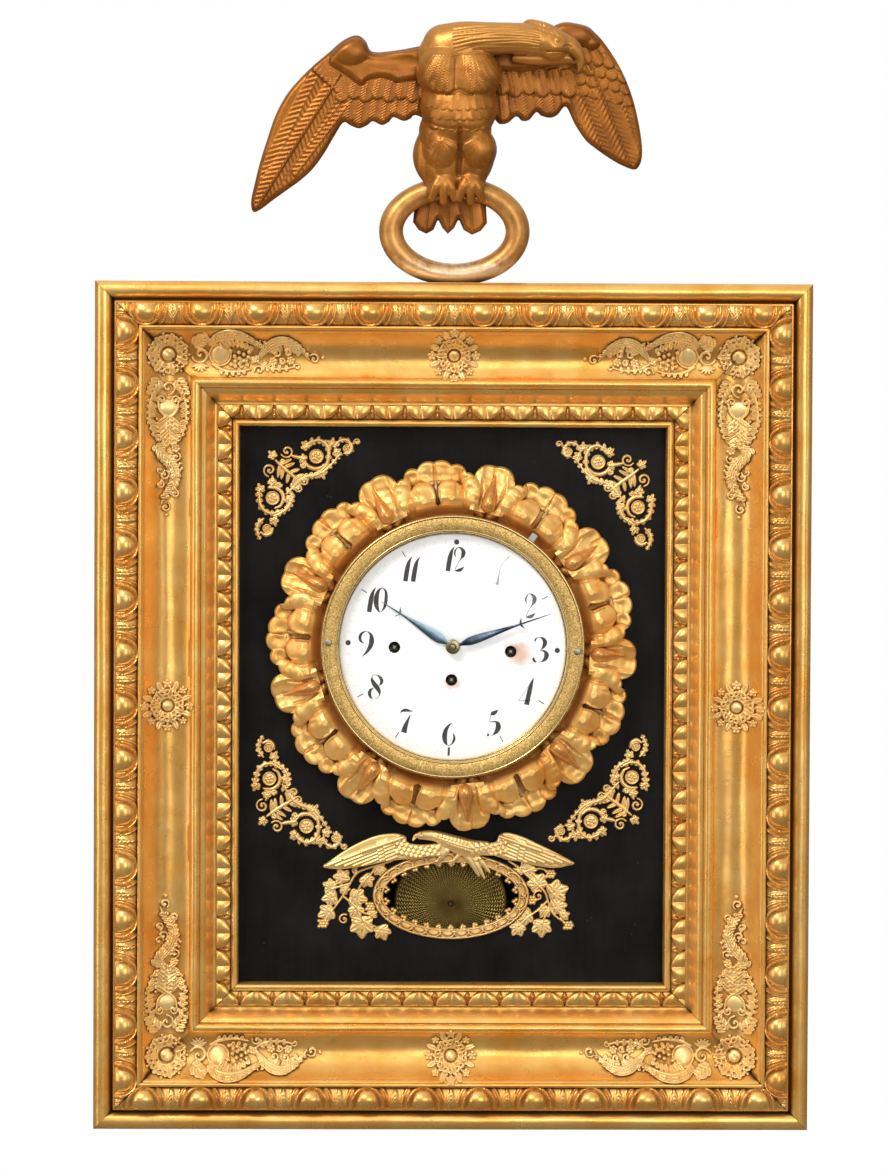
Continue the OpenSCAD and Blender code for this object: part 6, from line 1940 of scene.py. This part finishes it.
def build_camera():
    data = bpy.data.cameras.new("camera")
    data.sensor_fit = "VERTICAL"
    data.sensor_height = SENSOR
    data.lens = LENS
    data.clip_end = 100
    obj = bpy.data.objects.new("camera", data)
    bpy.context.scene.collection.objects.link(obj)
    up, left, roll = (math.radians(a) for a in CAMERA_TURN)
    obj.location = CAMERA_PLACE
    turn = (Matrix.Rotation(left, 3, "Z") @ Matrix.Rotation(up, 3, "X") @ Matrix.Rotation(roll, 3, "Y")
            @ Euler((math.radians(90), 0, 0)).to_matrix())
    obj.rotation_euler = turn.to_euler()
    bpy.context.scene.camera = obj
    bpy.context.scene.view_settings.view_transform = "Standard"


def paint_cad(M):
    """Finishes for the CAD nodes that stay."""
    groups = {
        "pine": ("back_board", "case_walls"),
        "case_brass": ("hanging_plate", "case_hinge_leaves", "frame_hinge_leaves", "latch_hook", "hook_stud"),
        "screw": ("case_screws", "bezel_screws"), "panel": ("panel",), "dial": ("dial",),
              # the winders get the black as painted shade in the winding holes
              "iron_and_hole_shade": ("eagle_bracket", "going_winder", "hour_winder", "quarter_winder"),
        "bob": ("pendulum_bob",), "blued": ("hour_gong", "quarter_gong", "hour_hand", "minute_hand"),
        "steel": ("clicks", "pallet_anchor", "pendulum_rod", "hour_hammer", "quarter_hammer"),
        "brass": ("front_plate", "back_plate", "plate_pillars", "movement_posts", "suspension_cock",
                  "gong_block",
                  "centre_wheel", "cannon_pinion", "hour_wheel", "minute_wheel", "third_wheel",
                  "escape_wheel",
                  "going_barrel", "hour_barrel", "quarter_barrel", "rating_nut"),
        "rim": ("sight_ring", "hand_nut"), "bezel": ("bezel",),
              "mount": ("spandrel_mounts", "aperture_ring", "eagle_mount", "vine_sprays"),
        "rail": ("frame_rail_top", "frame_rail_bottom", "frame_rail_left", "frame_rail_right"),
        "moulding": ("egg_moulding", "leaf_moulding"), "ornament": ("corner_ornaments", "centre_rosettes"),
        "wreath": ("wreath",), "eagle": ("eagle_body", "eagle_wings"), "ring": ("eagle_ring",),
    }
    for key, names in groups.items():
        for name in names:
            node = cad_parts[name]
            node.data.materials.clear()
            node.data.materials.append(M[key])


M = make_materials()
paint_cad(M)
build_rails(M)
build_strips(M, "egg_and_dart", EGG_BAND, 32.0, egg_height, 0.5, "egg_moulding")
build_strips(M, "leaf_band", LEAF_BAND, 13.0, leaf_height, 0.45, "leaf_moulding")
build_wreath(M)
build_bezel(M)
build_sight_ring(M)
build_bezel_catch(M)
build_bezel_screws(M)
build_dial(M)
build_hands(M)
build_winding_squares(M)
build_corner_ornaments(M)
build_centre_rosettes(M)
build_spandrels(M)
build_window_ring(M)
build_brass_eagle(M)
build_vines(M)
build_eagle_ring(M)
build_eagle_body(M)
build_eagle_tail(M)
build_left_wing(M)
build_right_wing(M)
build_stage()
build_world()
area_light("key", (-1.5, -2.4, 2.3), (0, 0, 0), (1.3, 1.0), 62, (1.0, 0.98, 0.95))
area_light("front", (0.9, -3.4, 0.7), (0, 0, -0.05), (1.6, 1.6), 26)
area_light("left_side", (-2.3, -1.3, 0.2), (0, 0, 0), (0.8, 1.6), 9, (1.0, 0.97, 0.93))
area_light("right_side", (2.3, -1.6, 0.4), (0, 0, 0), (0.8, 1.4), 4)
build_camera()
